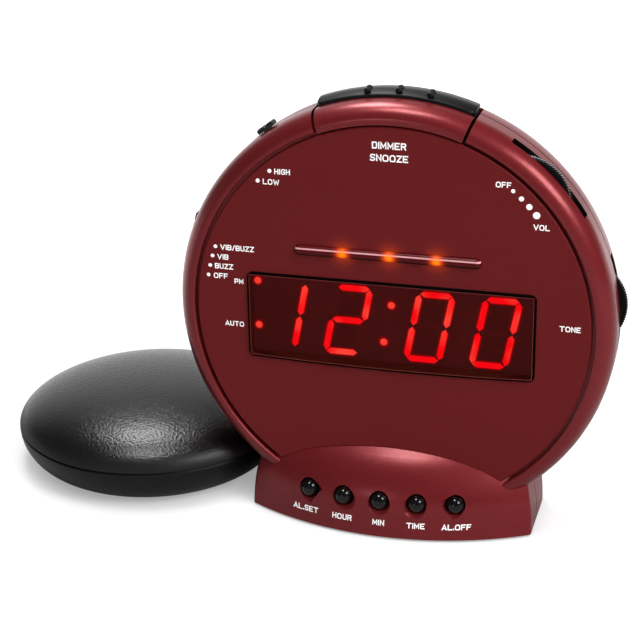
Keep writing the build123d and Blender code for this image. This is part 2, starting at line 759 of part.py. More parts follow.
def led_display(lights):
    """The display's black body on the main board."""
    half_h = WINDOW_H / 2 - WINDOW_SEAT - DISPLAY_EDGE
    left = WINDOW_W / 2 - WINDOW_SEAT - DISPLAY_EDGE
    middle = FACE_HEIGHT + WINDOW_Z
    front = FACE_T + DISPLAY_GAP
    return block(-left, DISPLAY_RIGHT, front, BOARD_Y, middle - half_h, middle + half_h) - lights


# Boards and what sits on them
def main_board():
    """A round board, cut straight above the battery tray, with holes for bosses and screws."""
    board = rod_y(BOARD_R, BOARD_Y, BOARD_BACK, 0, FACE_HEIGHT)
    board &= block(-FAR, FAR, -FAR, FAR, FACE_HEIGHT + BOARD_LOW, FAR)
    kept = rod_y(SNOOZE_SWITCH_LOW + SNOOZE_SWITCH_H, -FAR, FAR, 0, FACE_HEIGHT)
    board -= wedge(SNOOZE_HALF / 2, FAR) - kept
    for x, z in screw_spots():
        board -= rod_y(BOSS_R + SCREW_CLEAR, 0, FAR, x, z)
    for x, z, back in board_spots():
        board -= rod_y(BOARD_SCREW_R + SCREW_CLEAR, 0, FAR, x, z)
    return board - rod_y(POT_SHAFT_R + SCREW_CLEAR, 0, FAR, *TONE_PLACE)


def button_board():
    """The strip behind the foot's five buttons."""
    low = BUTTON_Z - BUTTON_BOARD_H / 2
    back = BUTTON_BOARD_Y + BOARD_T
    half = BUTTON_BOARD_HALF_W
    strip = block(-half, half, BUTTON_BOARD_Y, back, low, low + BUTTON_BOARD_H)
    for s in (-1, 1):
        strip -= rod_y(BOARD_SCREW_R + SCREW_CLEAR, -FAR, FAR, s * BUTTON_BOSS_X, BUTTON_Z)
    return strip


def button_switches():
    """Five small switches on the button board."""
    switches = Part()
    half = TACT_W / 2
    for x in BUTTON_XS:
        front = BUTTON_BOARD_Y - TACT_H
        body = block(x - half, x + half, front, BUTTON_BOARD_Y, BUTTON_Z - half, BUTTON_Z + half)
        pin = rod_y(TACT_PIN_R, front - TACT_PIN_H, front, x, BUTTON_Z)
        switches += body + pin
    return switches


def screw(radius, length, head_r, head_t, x, y, z):
    """A screw that points to the front, with the underside of its head at a depth."""
    return rod_y(radius, y - length, y, x, z) + rod_y(head_r, y, y + head_t, x, z)


def board_screws():
    """Screws that hold the two boards to the front case."""
    screws = Part()
    for x, z, back in board_spots():
        screws += screw(BOARD_SCREW_R, BOARD_SCREW_L, BOARD_HEAD_R, BOARD_HEAD_T, x, back, z)
    return screws


def case_screws():
    """Screws from the back that hold the two halves of the case together."""
    screws = Part()
    seat = PARTING_Y + SCREW_SEAT
    for x, z in screw_spots():
        screws += screw(SCREW_R, SCREW_SEAT + SCREW_BITE, SCREW_HEAD_R, SCREW_HEAD_T, x, seat, z)
    return screws


def potentiometer(place, bore_start, bore_end):
    """The round control of a thumb wheel, on the front of the main board, open for the wheel's shaft."""
    bore = rod_y(POT_SHAFT_R + RUN_CLEAR, bore_start, bore_end, *place)
    return rod_y(POT_R, BOARD_Y - POT_T, BOARD_Y, *place) - bore


def thumb_wheel(place, y, shaft_start, shaft_end):
    """A wheel with a toothed rim, and the shaft that turns its control."""
    points = []
    for k in range(2 * WHEEL_TEETH):
        a = math.pi * k / WHEEL_TEETH
        r = WHEEL_R - TOOTH_H * (k % 2)
        points.append((r * math.cos(a), r * math.sin(a)))
    x, z = place
    rim = make_face(Polyline(*points, close=True))
    disc = Pos(x, y + WHEEL_T, z) * extrude(Plane.XZ * rim, amount=WHEEL_T)
    return disc + rod_y(POT_SHAFT_R, shaft_start, shaft_end, x, z)


VOLUME_SHAFT_END = VOLUME_Y + WHEEL_T + POT_GAP + POT_SHAFT_L
TONE_SHAFT_END = BOARD_Y - POT_SHAFT_L


def snooze_switch():
    """A small switch on the top of the main board, its pin upwards."""
    half = SNOOZE_SWITCH_W / 2
    low = FACE_HEIGHT + SNOOZE_SWITCH_LOW
    top = low + SNOOZE_SWITCH_H
    body = block(-half, half, BOARD_Y - SNOOZE_SWITCH_H, BOARD_Y, low, top)
    return body + rod_z(SNOOZE_PIN_R, top, top + SNOOZE_PIN_H, 0, BOARD_Y - SNOOZE_SWITCH_H / 2)


# Snooze bar
def pad_outline(extra=0.0):
    """Section of the snooze pad, as radius and depth."""
    front = PAD_FRONT - extra
    back = PAD_BACK + extra
    base = PAD_BASE_R - extra
    middle = (2 * front + back) / 3
    crown = ThreePointArc((PAD_EDGE_R, front), (PAD_TOP_R, middle), (PAD_EDGE_R - extra, back))
    rest = Polyline((PAD_EDGE_R - extra, back), (base, back), (base, front), (PAD_EDGE_R, front))
    return closed(crown, rest)


def over_the_top(outline, half_angle):
    """Turns a section through an angle to each side of straight up."""
    swept = revolve(Plane.XY.offset(FACE_HEIGHT) * outline, DRUM_AXIS, revolution_arc=2 * half_angle)
    return swept.rotate(DRUM_AXIS, -90 - half_angle)


def snooze_bar():
    """The red saddle: a piece of the rim that can be pressed, with a plunger over its switch."""
    bar = (drum() - drum_inside()) & wedge(SNOOZE_HALF, SNOOZE_BACK)
    bar -= rod_y(SNOOZE_LIP_R, -FAR, FAR, 0, FACE_HEIGHT)
    low = FACE_HEIGHT + SNOOZE_SWITCH_LOW + SNOOZE_SWITCH_H + SNOOZE_PIN_H + SNOOZE_TRAVEL + FIT
    y = BOARD_Y - SNOOZE_SWITCH_H / 2
    top = FACE_HEIGHT + RIM_R - WALL / 2
    bar += block(-PLUNGER_W / 2, PLUNGER_W / 2, y - WALL / 2, y + WALL / 2, low, top)
    return bar - over_the_top(pad_outline(RUN_CLEAR), SNOOZE_HALF + SNOOZE_GAP)


def snooze_pad():
    """The black pad on the saddle, with two rows of raised bumps."""
    pad = over_the_top(pad_outline(), PAD_HALF)
    far_x = 0.95 * PAD_EDGE_R * math.sin(math.radians(PAD_HALF))
    corners = [e for e in pad.edges() if abs(e.center().X) > far_x and e.bounding_box().size.Y < 0.1]
    pad = fillet(corners, PAD_CORNER_R)
    pad = fillet(pad.faces().sort_by(Axis.Z)[-1].edges(), PAD_ROUND)
    for angle in (-BUMP_ANGLE, 0, BUMP_ANGLE):
        for y in BUMP_YS:
            bump = Pos(0, -y, PAD_TOP_R) * Sphere(BUMP_R)
            pad += on_rim(90 + angle - BUMP_MIDDLE) * bump
    return pad


# Push buttons
def push_button(x):
    """A ball-headed button with a flange behind the wall and a stem to its switch."""
    ball_y = toe_y(x, BUTTON_Z) + BUTTON_SUNK
    back = flange_y(x)
    end = BUTTON_BOARD_Y - TACT_H - TACT_PIN_H - BUTTON_TRAVEL - BUTTON_AIR
    button = Pos(x, ball_y, BUTTON_Z) * Sphere(BUTTON_R)
    button += rod_y(BUTTON_R, ball_y, back, x, BUTTON_Z)
    button += rod_y(FLANGE_R, back, back + FLANGE_T, x, BUTTON_Z)
    return button + rod_y(STEM_R, back, end, x, BUTTON_Z)


# Speaker, battery and sockets
def about_speaker(outline):
    """Turns an outline of radius and depth about the speaker's axis."""
    height = FACE_HEIGHT + SPEAKER_Z
    return revolve(Plane.XY.offset(height) * outline, Axis((0, 0, height), (0, 1, 0)))


BASKET_Y = BACK_IN - SPEAKER_FLANGE_T - BASKET_DEPTH
CONE_RIM_R = SPEAKER_R - SPEAKER_FLANGE_W


def speaker_frame():
    """A pressed basket with a flat flange against the back wall."""
    seat_y = BACK_IN - SPEAKER_FLANGE_T
    outline = Polyline(
        (SPEAKER_R, BACK_IN), (SPEAKER_R, seat_y), (CONE_RIM_R + CONE_T, seat_y),
        (BASKET_R, BASKET_Y), (CAP_R + CONE_AIR, BASKET_Y), (CAP_R + CONE_AIR, BASKET_Y + CONE_T),
        (BASKET_R - CONE_T, BASKET_Y + CONE_T),
        (CONE_RIM_R, seat_y + CONE_T), (CONE_RIM_R, BACK_IN), close=True,
    )
    return about_speaker(make_face(outline))


def speaker_cone():
    """A paper cone with its rim under the flange and a dust cap in the middle."""
    rim_y = BACK_IN - FIT
    low = BASKET_Y + CONE_T + CONE_AIR + SPEAKER_FLANGE_T
    outline = Polyline(
        (CONE_RIM_R - FIT, rim_y), (CONE_RIM_R - FIT, rim_y - CONE_T), (CAP_R, low), (0, low),
        (0, low + CONE_T), (CAP_R, low + CONE_T), (CONE_RIM_R - FIT - 2 * CONE_T, rim_y), close=True,
    )
    return about_speaker(make_face(outline))


def speaker_magnet():
    """Ring magnet and pole on the back of the basket."""
    ring = rod_y(MAGNET_R, BASKET_Y - MAGNET_T, BASKET_Y, 0, FACE_HEIGHT + SPEAKER_Z)
    pole = rod_y(CAP_R, BASKET_Y - MAGNET_T, BASKET_Y + CONE_T, 0, FACE_HEIGHT + SPEAKER_Z)
    return ring + pole


def backup_battery():
    """A block battery, its terminals to the right."""
    middle = FACE_HEIGHT + TRAY_Z
    left = -(BATTERY_L + CLIP_T) / 2 - BATTERY_CLEAR + FIT
    low = middle - BATTERY_H / 2 - BATTERY_CLEAR
    case = block(left, left + BATTERY_L, BATTERY_FRONT, BATTERY_BACK, low, low + BATTERY_H)
    return fillet(case.edges().filter_by(Axis.X), BATTERY_ROUND)


def battery_clip():
    """The snap plate at the battery's end."""
    middle = FACE_HEIGHT + TRAY_Z
    right = (BATTERY_L + CLIP_T) / 2 + BATTERY_CLEAR
    low = middle - BATTERY_H / 2 - BATTERY_CLEAR
    return block(right - CLIP_T, right, BATTERY_FRONT, BATTERY_BACK, low, low + BATTERY_H)


def battery_door():
    """A flush door with two hook tabs below and a thumb hollow at the top."""
    half_l = (BATTERY_L + CLIP_T) / 2 + BATTERY_CLEAR + DOOR_LEDGE - DOOR_CLEAR
    half_h = BATTERY_H / 2 + BATTERY_CLEAR + DOOR_LEDGE - DOOR_CLEAR
    middle = FACE_HEIGHT + TRAY_Z
    door = block(-half_l, half_l, BACK_Y - DOOR_T, BACK_Y, middle - half_h, middle + half_h)
    thumb_y = BACK_Y + (THUMB_R**2 - THUMB_DEPTH**2) ** 0.5
    door -= Pos(0, thumb_y, middle + half_h - THUMB_R) * Sphere(THUMB_R)
    hook = tab_box(0) + tab_root(0, BACK_Y - DOOR_T / 2)
    return door + hook + mirror(hook, about=Plane.YZ)


def socket(x, nose_r, bore_r, bore_l, body_w):
    """A socket behind the back wall, its nose in a hole in the wall."""
    z = FACE_HEIGHT + SOCKET_Z
    half = body_w / 2
    body = block(x - half, x + half, BACK_Y - bore_l - SOCKET_END, BACK_IN, z - half, z + half)
    return body + rod_y(nose_r, BACK_IN - 1, BACK_Y, x, z) - rod_y(bore_r, BACK_Y - bore_l, FAR, x, z)


def power_inlet():
    """The inlet for a mains adaptor, with its middle pin."""
    back = BACK_Y - SOCKET_END
    pin = rod_y(POWER_PIN_R, BACK_Y - POWER_BORE_L - 1, back, -SOCKET_X, FACE_HEIGHT + SOCKET_Z)
    return socket(-SOCKET_X, POWER_NOSE_R, POWER_BORE_R, POWER_BORE_L, POWER_BODY_W) + pin


def shaker_socket():
    """The socket for the shaker's lead."""
    return socket(SOCKET_X, SHAKER_NOSE_R, SHAKER_BORE_R, SHAKER_BORE_L, SHAKER_BODY_W)


# Bed shaker
SHAKER_PLACE = Pos(SHAKER_X, SHAKER_Y, 0)
SHAKER_TURN = Axis((0, 0, 0), (0, 0, 1))
SHELL_ANGLES = [math.radians(a) for a in (30, 150, 270)]
SHELL_SPOTS = [(SHELL_SCREW_R * math.cos(a), SHELL_SCREW_R * math.sin(a)) for a in SHELL_ANGLES]
GLAND_OUT = SHAKER_R + GLAND_COLLAR_T


def dome(inset):
    """The shaker's upper half as a solid, drawn in by an inset."""
    wide = SHAKER_R - inset
    high = SHAKER_H - SHAKER_SEAM_Z - inset
    arc = EllipticalCenterArc((0, SHAKER_SEAM_Z), wide, high, start_angle=0, arc_size=DOME_ARC)
    flat = wide * math.cos(math.radians(DOME_ARC))
    top = SHAKER_SEAM_Z + high * math.sin(math.radians(DOME_ARC))
    rest = Polyline((flat, top), (0, top), (0, SHAKER_SEAM_Z), (wide, SHAKER_SEAM_Z))
    return revolve(Plane.XZ * closed(arc, rest), SHAKER_TURN)


def bowl(inset):
    """The shaker's lower half as a solid, drawn in by an inset."""
    arc = EllipticalCenterArc(
        (SHAKER_SOLE_R, SHAKER_SEAM_Z), SHAKER_R - SHAKER_SOLE_R - inset, SHAKER_SEAM_Z - inset,
        start_angle=270, arc_size=90,
    )
    side = SHAKER_R - inset
    rest = Polyline((side, SHAKER_SEAM_Z), (0, SHAKER_SEAM_Z), (0, inset), (SHAKER_SOLE_R, inset))
    return revolve(Plane.XZ * closed(arc, rest), SHAKER_TURN)


def shaker_seam():
    """The small groove round the shaker where its halves meet."""
    v = SHAKER_SEAM_V
    wide = SHAKER_R + v
    tip = Polyline(
        (SHAKER_R - v, SHAKER_SEAM_Z),
        (wide, SHAKER_SEAM_Z + 2 * v),
        (wide, SHAKER_SEAM_Z - 2 * v),
        close=True,
    )
    return revolve(Plane.XZ * make_face(tip), SHAKER_TURN)


def gland_hole(clear):
    """Room for the cord gland in the back of the shaker."""
    return rod_y(GLAND_R + clear, SHAKER_R - 3 * SHAKER_WALL, SHAKER_R + FAR, 0, SHAKER_SEAM_Z)


def shaker_top_shell():
    """Upper shell with three bosses for its screws."""
    shell_top = dome(0) - dome(SHAKER_WALL)
    posts = Part()
    for x, y in SHELL_SPOTS:
        posts += rod_z(BOSS_R, SHELL_BOSS_TOP, SHAKER_H, x, y)
    posts &= dome(SHAKER_WALL / 2) + rod_z(SHAKER_R - SHAKER_WALL, 0, SHAKER_SEAM_Z)
    shell_top += posts
    for x, y in SHELL_SPOTS:
        shell_top -= rod_z(SCREW_R + PILOT_CLEAR, 0, SHELL_BOSS_TOP + SCREW_BITE + 1, x, y)
    return SHAKER_PLACE * (shell_top - shaker_seam() - gland_hole(FIT))


def motor_body(clear):
    """A round motor with flat top and bottom, lying along X."""
    can = rod_x(MOTOR_R + clear, MOTOR_FRONT - clear, MOTOR_FRONT + MOTOR_L + clear, 0, MOTOR_Z)
    return can & block(-FAR, FAR, -FAR, FAR, MOTOR_Z - MOTOR_FLAT - clear, MOTOR_Z + MOTOR_FLAT + clear)


CRADLE_XS = (MOTOR_FRONT + MOTOR_L * 0.2, MOTOR_FRONT + MOTOR_L * 0.8)
CLAMP_X = MOTOR_FRONT + MOTOR_L / 2
CLAMP_SCREW_Y = MOTOR_R + CLAMP_T + CLAMP_EAR / 2
CLAMP_FOOT_Z = MOTOR_Z - MOTOR_FLAT


def shaker_bottom_shell():
    """Lower shell with a cradle for the motor, posts for its clamp and wells for the screws."""
    shell_low = bowl(0) - bowl(SHAKER_WALL)
    floor = SHAKER_WALL / 2
    for x in CRADLE_XS:
        half = CRADLE_T / 2
        shell_low += block(x - half, x + half, -CRADLE_HALF_W, CRADLE_HALF_W, floor, MOTOR_Z)
    for s in (-1, 1):
        shell_low += rod_z(BOSS_R, floor, CLAMP_FOOT_Z, CLAMP_X, s * CLAMP_SCREW_Y)
    for x, y in SHELL_SPOTS:
        shell_low += rod_z(BOSS_R, floor, SHELL_BOSS_TOP, x, y)
    shell_low -= motor_body(0)
    for s in (-1, 1):
        shell_low -= rod_z(SCREW_R + PILOT_CLEAR, SHAKER_WALL, FAR, CLAMP_X, s * CLAMP_SCREW_Y)
    for x, y in SHELL_SPOTS:
        shell_low -= rod_z(SCREW_R + SCREW_CLEAR, -1, SHELL_BOSS_TOP + 1, x, y)
        shell_low -= rod_z(SCREW_HEAD_R + SCREW_CLEAR, -1, SCREW_HEAD_T + FIT, x, y)
    return SHAKER_PLACE * (shell_low - shaker_seam() - gland_hole(FIT))


def shaker_motor():
    """The motor that spins the weight."""
    bore = rod_x(SHAFT_R + RUN_CLEAR, MOTOR_FRONT - 1, MOTOR_FRONT + SHAFT_IN + FIT, 0, MOTOR_Z)
    return SHAKER_PLACE * (motor_body(0) - bore)


def motor_clamp():
    """A metal strap over the motor, screwed down on both sides."""
    half = CLAMP_W / 2
    reach = CLAMP_SCREW_Y + CLAMP_EAR / 2
    strap = motor_body(CLAMP_CLEAR + CLAMP_T) - motor_body(CLAMP_CLEAR)
    strap &= block(CLAMP_X - half, CLAMP_X + half, -FAR, FAR, CLAMP_FOOT_Z, FAR)
    ears = block(CLAMP_X - half, CLAMP_X + half, -reach, reach, CLAMP_FOOT_Z, CLAMP_FOOT_Z + CLAMP_T)
    strap += ears - motor_body(CLAMP_CLEAR)
    for s in (-1, 1):
        strap -= rod_z(SCREW_R + SCREW_CLEAR, 0, FAR, CLAMP_X, s * CLAMP_SCREW_Y)
    return SHAKER_PLACE * strap


def shaker_screws():
    """Three screws up through the bottom and two down through the clamp."""
    screws = Part()
    seat = SCREW_HEAD_T + FIT
    for x, y in SHELL_SPOTS:
        screws += rod_z(SCREW_HEAD_R, FIT, seat, x, y)
        screws += rod_z(SCREW_R, seat, SHELL_BOSS_TOP + SCREW_BITE, x, y)
    head = CLAMP_FOOT_Z + CLAMP_T
    for s in (-1, 1):
        y = s * CLAMP_SCREW_Y
        shank = rod_z(SCREW_R, SHAKER_WALL + FIT, head, CLAMP_X, y)
        screws += shank + rod_z(SCREW_HEAD_R, head, head + SCREW_HEAD_T, CLAMP_X, y)
    return SHAKER_PLACE * screws


def motor_shaft():
    """The motor's shaft, out through the weight."""
    out = MOTOR_FRONT - WEIGHT_GAP - WEIGHT_L - 1
    return SHAKER_PLACE * rod_x(SHAFT_R, out, MOTOR_FRONT + SHAFT_IN, 0, MOTOR_Z)


def eccentric_weight():
    """A half-round weight on the shaft."""
    x1 = MOTOR_FRONT - WEIGHT_GAP
    x0 = x1 - WEIGHT_L
    half = rod_x(WEIGHT_R, x0, x1, 0, MOTOR_Z) & block(-FAR, FAR, -FAR, FAR, -FAR, MOTOR_Z)
    weight = half + rod_x(WEIGHT_HUB_R, x0, x1, 0, MOTOR_Z)
    return SHAKER_PLACE * (weight - rod_x(SHAFT_R + WEIGHT_BORE_CLEAR, x0 - 1, x1 + 1, 0, MOTOR_Z))


def cord_gland():
    """The bush in the back of the shaker that its lead comes out of."""
    inner = SHAKER_R - 2 * SHAKER_WALL
    bush = rod_y(GLAND_R, inner, GLAND_OUT, 0, SHAKER_SEAM_Z)
    bush += rod_y(GLAND_COLLAR_R, SHAKER_R + FIT, GLAND_OUT, 0, SHAKER_SEAM_Z)
    return SHAKER_PLACE * (bush - rod_y(GLAND_BORE_R, inner - 1, GLAND_OUT + 1, 0, SHAKER_SEAM_Z))


lights = display_segments()
nodes = {
    "front_case": front_case(),
    "rear_case": rear_case(),
    "rubber_sole": rubber_sole(),
    "face_plate": face_plate(),
    "display_window": display_window(),
    "light_bar_lens": light_bar_lens(),
    "alert_leds": alert_leds(),
    "display_segments": lights,
    "led_display": led_display(lights),
    "main_board": main_board(),
    "board_screws": board_screws(),
    "case_screws": case_screws(),
    "button_board": button_board(),
    "button_switches": button_switches(),
    "snooze_switch": snooze_switch(),
    "volume_pot": potentiometer(VOLUME_PLACE, 0, VOLUME_SHAFT_END + FIT),
    "tone_pot": potentiometer(TONE_PLACE, TONE_SHAFT_END - FIT, FAR),
    "level_switch": slide_switch(LEVEL_ANGLE, VOLUME_Y, BOARD_Y, LEVEL_TRAVEL),
    "mode_switch": slide_switch(MODE_ANGLE, BOARD_BACK, BOARD_BACK + SWITCH_H, MODE_TRAVEL),
    "speaker_frame": speaker_frame(),
    "speaker_cone": speaker_cone(),
    "speaker_magnet": speaker_magnet(),
    "power_inlet": power_inlet(),
    "shaker_socket": shaker_socket(),
    "backup_battery": backup_battery(),
    "battery_clip": battery_clip(),
    "battery_door": battery_door(),
    "snooze_bar": snooze_bar(),
    "snooze_pad": snooze_pad(),
    "volume_wheel": thumb_wheel(VOLUME_PLACE, VOLUME_Y, VOLUME_Y + WHEEL_T / 2, VOLUME_SHAFT_END),
    "tone_wheel": thumb_wheel(TONE_PLACE, TONE_Y, TONE_SHAFT_END, TONE_Y + WHEEL_T / 2),
    "level_knob": slide_knob(LEVEL_ANGLE, LEVEL_Y, LEVEL_TRAVEL),
    "mode_knob": slide_knob(MODE_ANGLE, MODE_Y, MODE_TRAVEL),
    "shaker_top_shell": shaker_top_shell(),
    "shaker_bottom_shell": shaker_bottom_shell(),
    "shaker_motor": shaker_motor(),
    "motor_clamp": motor_clamp(),
    "motor_shaft": motor_shaft(),
    "eccentric_weight": eccentric_weight(),
    "shaker_screws": shaker_screws(),
    "cord_gland": cord_gland(),
}
button_names = ("alarm_set_button", "hour_button", "minute_button", "time_button", "alarm_off_button")
for name, x in zip(button_names, BUTTON_XS):
    nodes[name] = push_button(x)

os.makedirs("parts", exist_ok=True)
for name, piece in nodes.items():
    export_step(piece, f"parts/{name}.step")
print(len(nodes), "pieces written")
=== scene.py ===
# %% [markdown]
# # A bed shaker alarm clock
# The clock is a round drum in metallic maroon paint on a moulded foot. A puck-shaped shaker in grained black
# plastic stands beside it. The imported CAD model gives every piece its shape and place. This lesson gives each
# piece its finish and adds what is too fine for CAD: the print on the face, the knurl on the thumb wheels and
# the lit figures.

import math

import bmesh
import bpy
from mathutils import Matrix, Vector


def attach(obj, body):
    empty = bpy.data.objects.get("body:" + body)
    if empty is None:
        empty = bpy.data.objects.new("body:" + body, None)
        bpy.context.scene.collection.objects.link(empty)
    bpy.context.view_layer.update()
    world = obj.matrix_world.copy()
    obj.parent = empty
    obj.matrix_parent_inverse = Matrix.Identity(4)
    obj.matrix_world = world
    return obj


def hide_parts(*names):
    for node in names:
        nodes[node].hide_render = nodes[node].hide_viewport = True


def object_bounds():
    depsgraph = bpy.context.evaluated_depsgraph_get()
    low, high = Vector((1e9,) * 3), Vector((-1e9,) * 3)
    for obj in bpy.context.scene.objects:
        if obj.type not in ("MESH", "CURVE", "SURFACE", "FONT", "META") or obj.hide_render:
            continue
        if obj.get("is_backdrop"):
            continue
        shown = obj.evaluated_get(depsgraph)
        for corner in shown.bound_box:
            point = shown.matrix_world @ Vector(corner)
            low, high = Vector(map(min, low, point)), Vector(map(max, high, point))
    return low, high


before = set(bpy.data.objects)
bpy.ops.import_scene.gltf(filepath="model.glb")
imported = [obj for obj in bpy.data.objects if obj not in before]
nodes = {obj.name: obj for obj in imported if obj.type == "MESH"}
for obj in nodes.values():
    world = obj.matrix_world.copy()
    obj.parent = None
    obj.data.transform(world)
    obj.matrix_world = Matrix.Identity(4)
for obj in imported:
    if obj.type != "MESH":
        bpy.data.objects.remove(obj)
cad_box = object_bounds()
MM = 0.001
FACE_HEIGHT = 68.5
DRUM_AXIS = (0, 0, FACE_HEIGHT * MM)
print("pieces in the frame:", len(nodes))

# %% [markdown]
# ## Camera
# A camera can be set by eye or worked out. Here it was worked out from the photograph: the round face, the
# window's corners and the foot give the direction, the distance and a small roll. The lens follows from the
# distance.

# %% Camera
AZIMUTH, ELEVATION, ROLL = (math.radians(a) for a in (15.788, 22.491, -0.951))
DISTANCE = 539.5
AIM_HEIGHT, AIM_LEFT, AIM_DOWN = 80, 21.032, 9.586
SENSOR, FOCAL_PIXELS, PICTURE_PIXELS = 36, 1785.35, 640
flat_share = math.cos(ELEVATION)
away = Vector((math.sin(AZIMUTH) * flat_share, -math.cos(AZIMUTH) * flat_share, math.sin(ELEVATION)))
level = Vector((math.cos(AZIMUTH), math.sin(AZIMUTH), 0))
rise = away.cross(level)
aim = Vector((0, 0, AIM_HEIGHT)) - AIM_LEFT * level - AIM_DOWN * rise
right = level * math.cos(ROLL) + rise * math.sin(ROLL)
up = rise * math.cos(ROLL) - level * math.sin(ROLL)
camera = bpy.data.objects.new("camera", bpy.data.cameras.new("camera"))
camera.data.sensor_width = SENSOR
camera.data.lens = SENSOR * FOCAL_PIXELS / PICTURE_PIXELS
camera.data.clip_start = 0.01
turn = Matrix((right, up, away)).transposed().to_4x4()
camera.matrix_world = Matrix.Translation((aim + DISTANCE * away) * MM) @ turn
bpy.context.scene.collection.objects.link(camera)
bpy.context.scene.camera = camera
bpy.context.scene.view_settings.view_transform = "Standard"
print("camera at", [round(v, 3) for v in camera.location], "lens", round(camera.data.lens, 1))


# %% [markdown]
# ## Small helpers for materials
# A colour is written as the hex value that a picture editor shows. Blender works in linear light, so one
# function turns the hex value to linear. A second one adds a node, with its settings, its values and its
# links. Two more give the point that is being shaded, and the way to it from an axis that runs front to back.

# %% Colour and node helpers
def colour(code):
    parts = [int(code[k:k + 2], 16) / 255 for k in (1, 3, 5)]
    linear = [c / 12.92 if c <= 0.04045 else ((c + 0.055) / 1.055) ** 2.4 for c in parts]
    return (*linear, 1.0)


def add(tree, kind, inputs=None, **settings):
    node = tree.nodes.new(kind)
    for name, value in settings.items():
        setattr(node, name, value)
    for key, value in (inputs or {}).items():
        if isinstance(value, bpy.types.NodeSocket):
            tree.links.new(value, node.inputs[key])
        else:
            node.inputs[key].default_value = value
    return node


def object_place(tree):
    """The shaded point's X, Y and Z, in metres."""
    where = add(tree, "ShaderNodeTexCoord").outputs["Object"]
    return add(tree, "ShaderNodeSeparateXYZ", {0: where}).outputs


def off_axis(tree, centre):
    """The way to the shaded point from an axis that runs front to back through a centre."""
    where = add(tree, "ShaderNodeTexCoord").outputs["Object"]
    off = add(tree, "ShaderNodeVectorMath", {0: where, 1: centre}, operation="SUBTRACT")
    flat = add(tree, "ShaderNodeVectorMath", {0: off.outputs[0], 1: (1, 0, 1)}, operation="MULTIPLY")
    return flat.outputs[0]


def blank(name):
    material = bpy.data.materials.new(name)
    material.use_nodes = True
    material.node_tree.nodes.clear()
    return material, material.node_tree


def close(tree, shader):
    add(tree, "ShaderNodeOutputMaterial", {"Surface": shader.outputs[0]})


def dress(material, *names):
    for name in names:
        slots = nodes[name].data.materials
        slots.clear()
        slots.append(material)
    print(material.name, "on", len(names), "pieces")


print("maroon in linear light:", [round(v, 3) for v in colour("#7c1e23")[:3]])

# %% [markdown]
# ## Floor, room and lamps
# The photograph was taken on white, with soft lamps overhead and to the upper right. The room in front is
# dim, so black plastic stays black, and a white backdrop behind and to the left greys the shaker's top and
# the side of the drum where they are seen at a flat angle. The floor is a pale grey sheet, so it throws
# little light back at the clock. A light of its own lifts it to white: all of it for the camera, and only the
# part behind the clock for reflections. The lift grows with the distance from the clock, where the lamps
# reach less, and sinks in the corner under an edge, so the contact shadow stays. The large lamp at the upper
# right isn't mirrored, because its image would be a wide band on the ring. A smaller one near it and a tiny
# one in front give the highlights.

# %% Floor and world
FLOOR, HALF_FLOOR = "#a0a0a0", 6
NEAR_LIFT, FAR_LIFT = 0.7, 1.0
LIFT_START, LIFT_END = 0.13, 0.5
SHADOW_REACH, SHADOW_SHARE = 0.012, 0.45
ROOM, BACKDROP = 0.1, 1.0
corners = ((-1, -1), (1, -1), (1, 1), (-1, 1))
mesh = bpy.data.meshes.new("floor")
mesh.from_pydata([(x * HALF_FLOOR, y * HALF_FLOOR, 0) for x, y in corners], [], [(0, 1, 2, 3)])
floor = bpy.data.objects.new("floor", mesh)
bpy.context.scene.collection.objects.link(floor)
paper, tree = blank("white_paper_floor")
path = add(tree, "ShaderNodeLightPath")
spot = object_place(tree)
leftward = add(tree, "ShaderNodeMath", {0: spot["X"], 1: -0.6, 2: spot["Y"]}, operation="MULTIPLY_ADD")
behind = add(tree, "ShaderNodeMapRange", {0: leftward.outputs[0], 1: -0.05, 2: 0.35},
             interpolation_type="SMOOTHSTEP")
mirrored = add(tree, "ShaderNodeMath", {0: path.outputs["Is Glossy Ray"], 1: behind.outputs[0]},
               operation="MULTIPLY")
seen = add(tree, "ShaderNodeMath", {0: path.outputs["Is Camera Ray"], 1: mirrored.outputs[0]},
           operation="MAXIMUM")
seen = add(tree, "ShaderNodeMath", {0: seen.outputs[0], 1: path.outputs["Is Transmission Ray"]},
           operation="MAXIMUM")
where = add(tree, "ShaderNodeTexCoord").outputs["Object"]
reach = add(tree, "ShaderNodeVectorMath", {0: where}, operation="LENGTH")
level_up = add(tree, "ShaderNodeMapRange", {
    0: reach.outputs["Value"], 1: LIFT_START, 2: LIFT_END, 3: NEAR_LIFT, 4: FAR_LIFT})
corner = add(tree, "ShaderNodeAmbientOcclusion", {"Distance": SHADOW_REACH}, samples=8)
open_sky = add(tree, "ShaderNodeMapRange", {
    0: corner.outputs["AO"], 1: 0.15, 2: 0.8, 3: SHADOW_SHARE, 4: 1.0})
shaded = add(tree, "ShaderNodeMath", {0: level_up.outputs[0], 1: open_sky.outputs[0]}, operation="MULTIPLY")
lift = add(tree, "ShaderNodeMath", {0: seen.outputs[0], 1: shaded.outputs[0]}, operation="MULTIPLY")
sheet = add(tree, "ShaderNodeBsdfDiffuse", {"Color": colour(FLOOR)})
glow = add(tree, "ShaderNodeEmission", {"Color": (1, 1, 1, 1), "Strength": lift.outputs[0]})
close(tree, add(tree, "ShaderNodeAddShader", {0: sheet.outputs[0], 1: glow.outputs[0]}))
mesh.materials.append(paper)
floor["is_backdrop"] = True

world = bpy.data.worlds.new("studio")
bpy.context.scene.world = world
world.use_nodes = True
tree = world.node_tree
tree.nodes.clear()
path = add(tree, "ShaderNodeLightPath")
toward = add(tree, "ShaderNodeSeparateXYZ", {0: add(tree, "ShaderNodeTexCoord").outputs["Generated"]}).outputs
leftward = add(tree, "ShaderNodeMath", {0: toward["X"], 1: -0.3, 2: toward["Y"]}, operation="MULTIPLY_ADD")
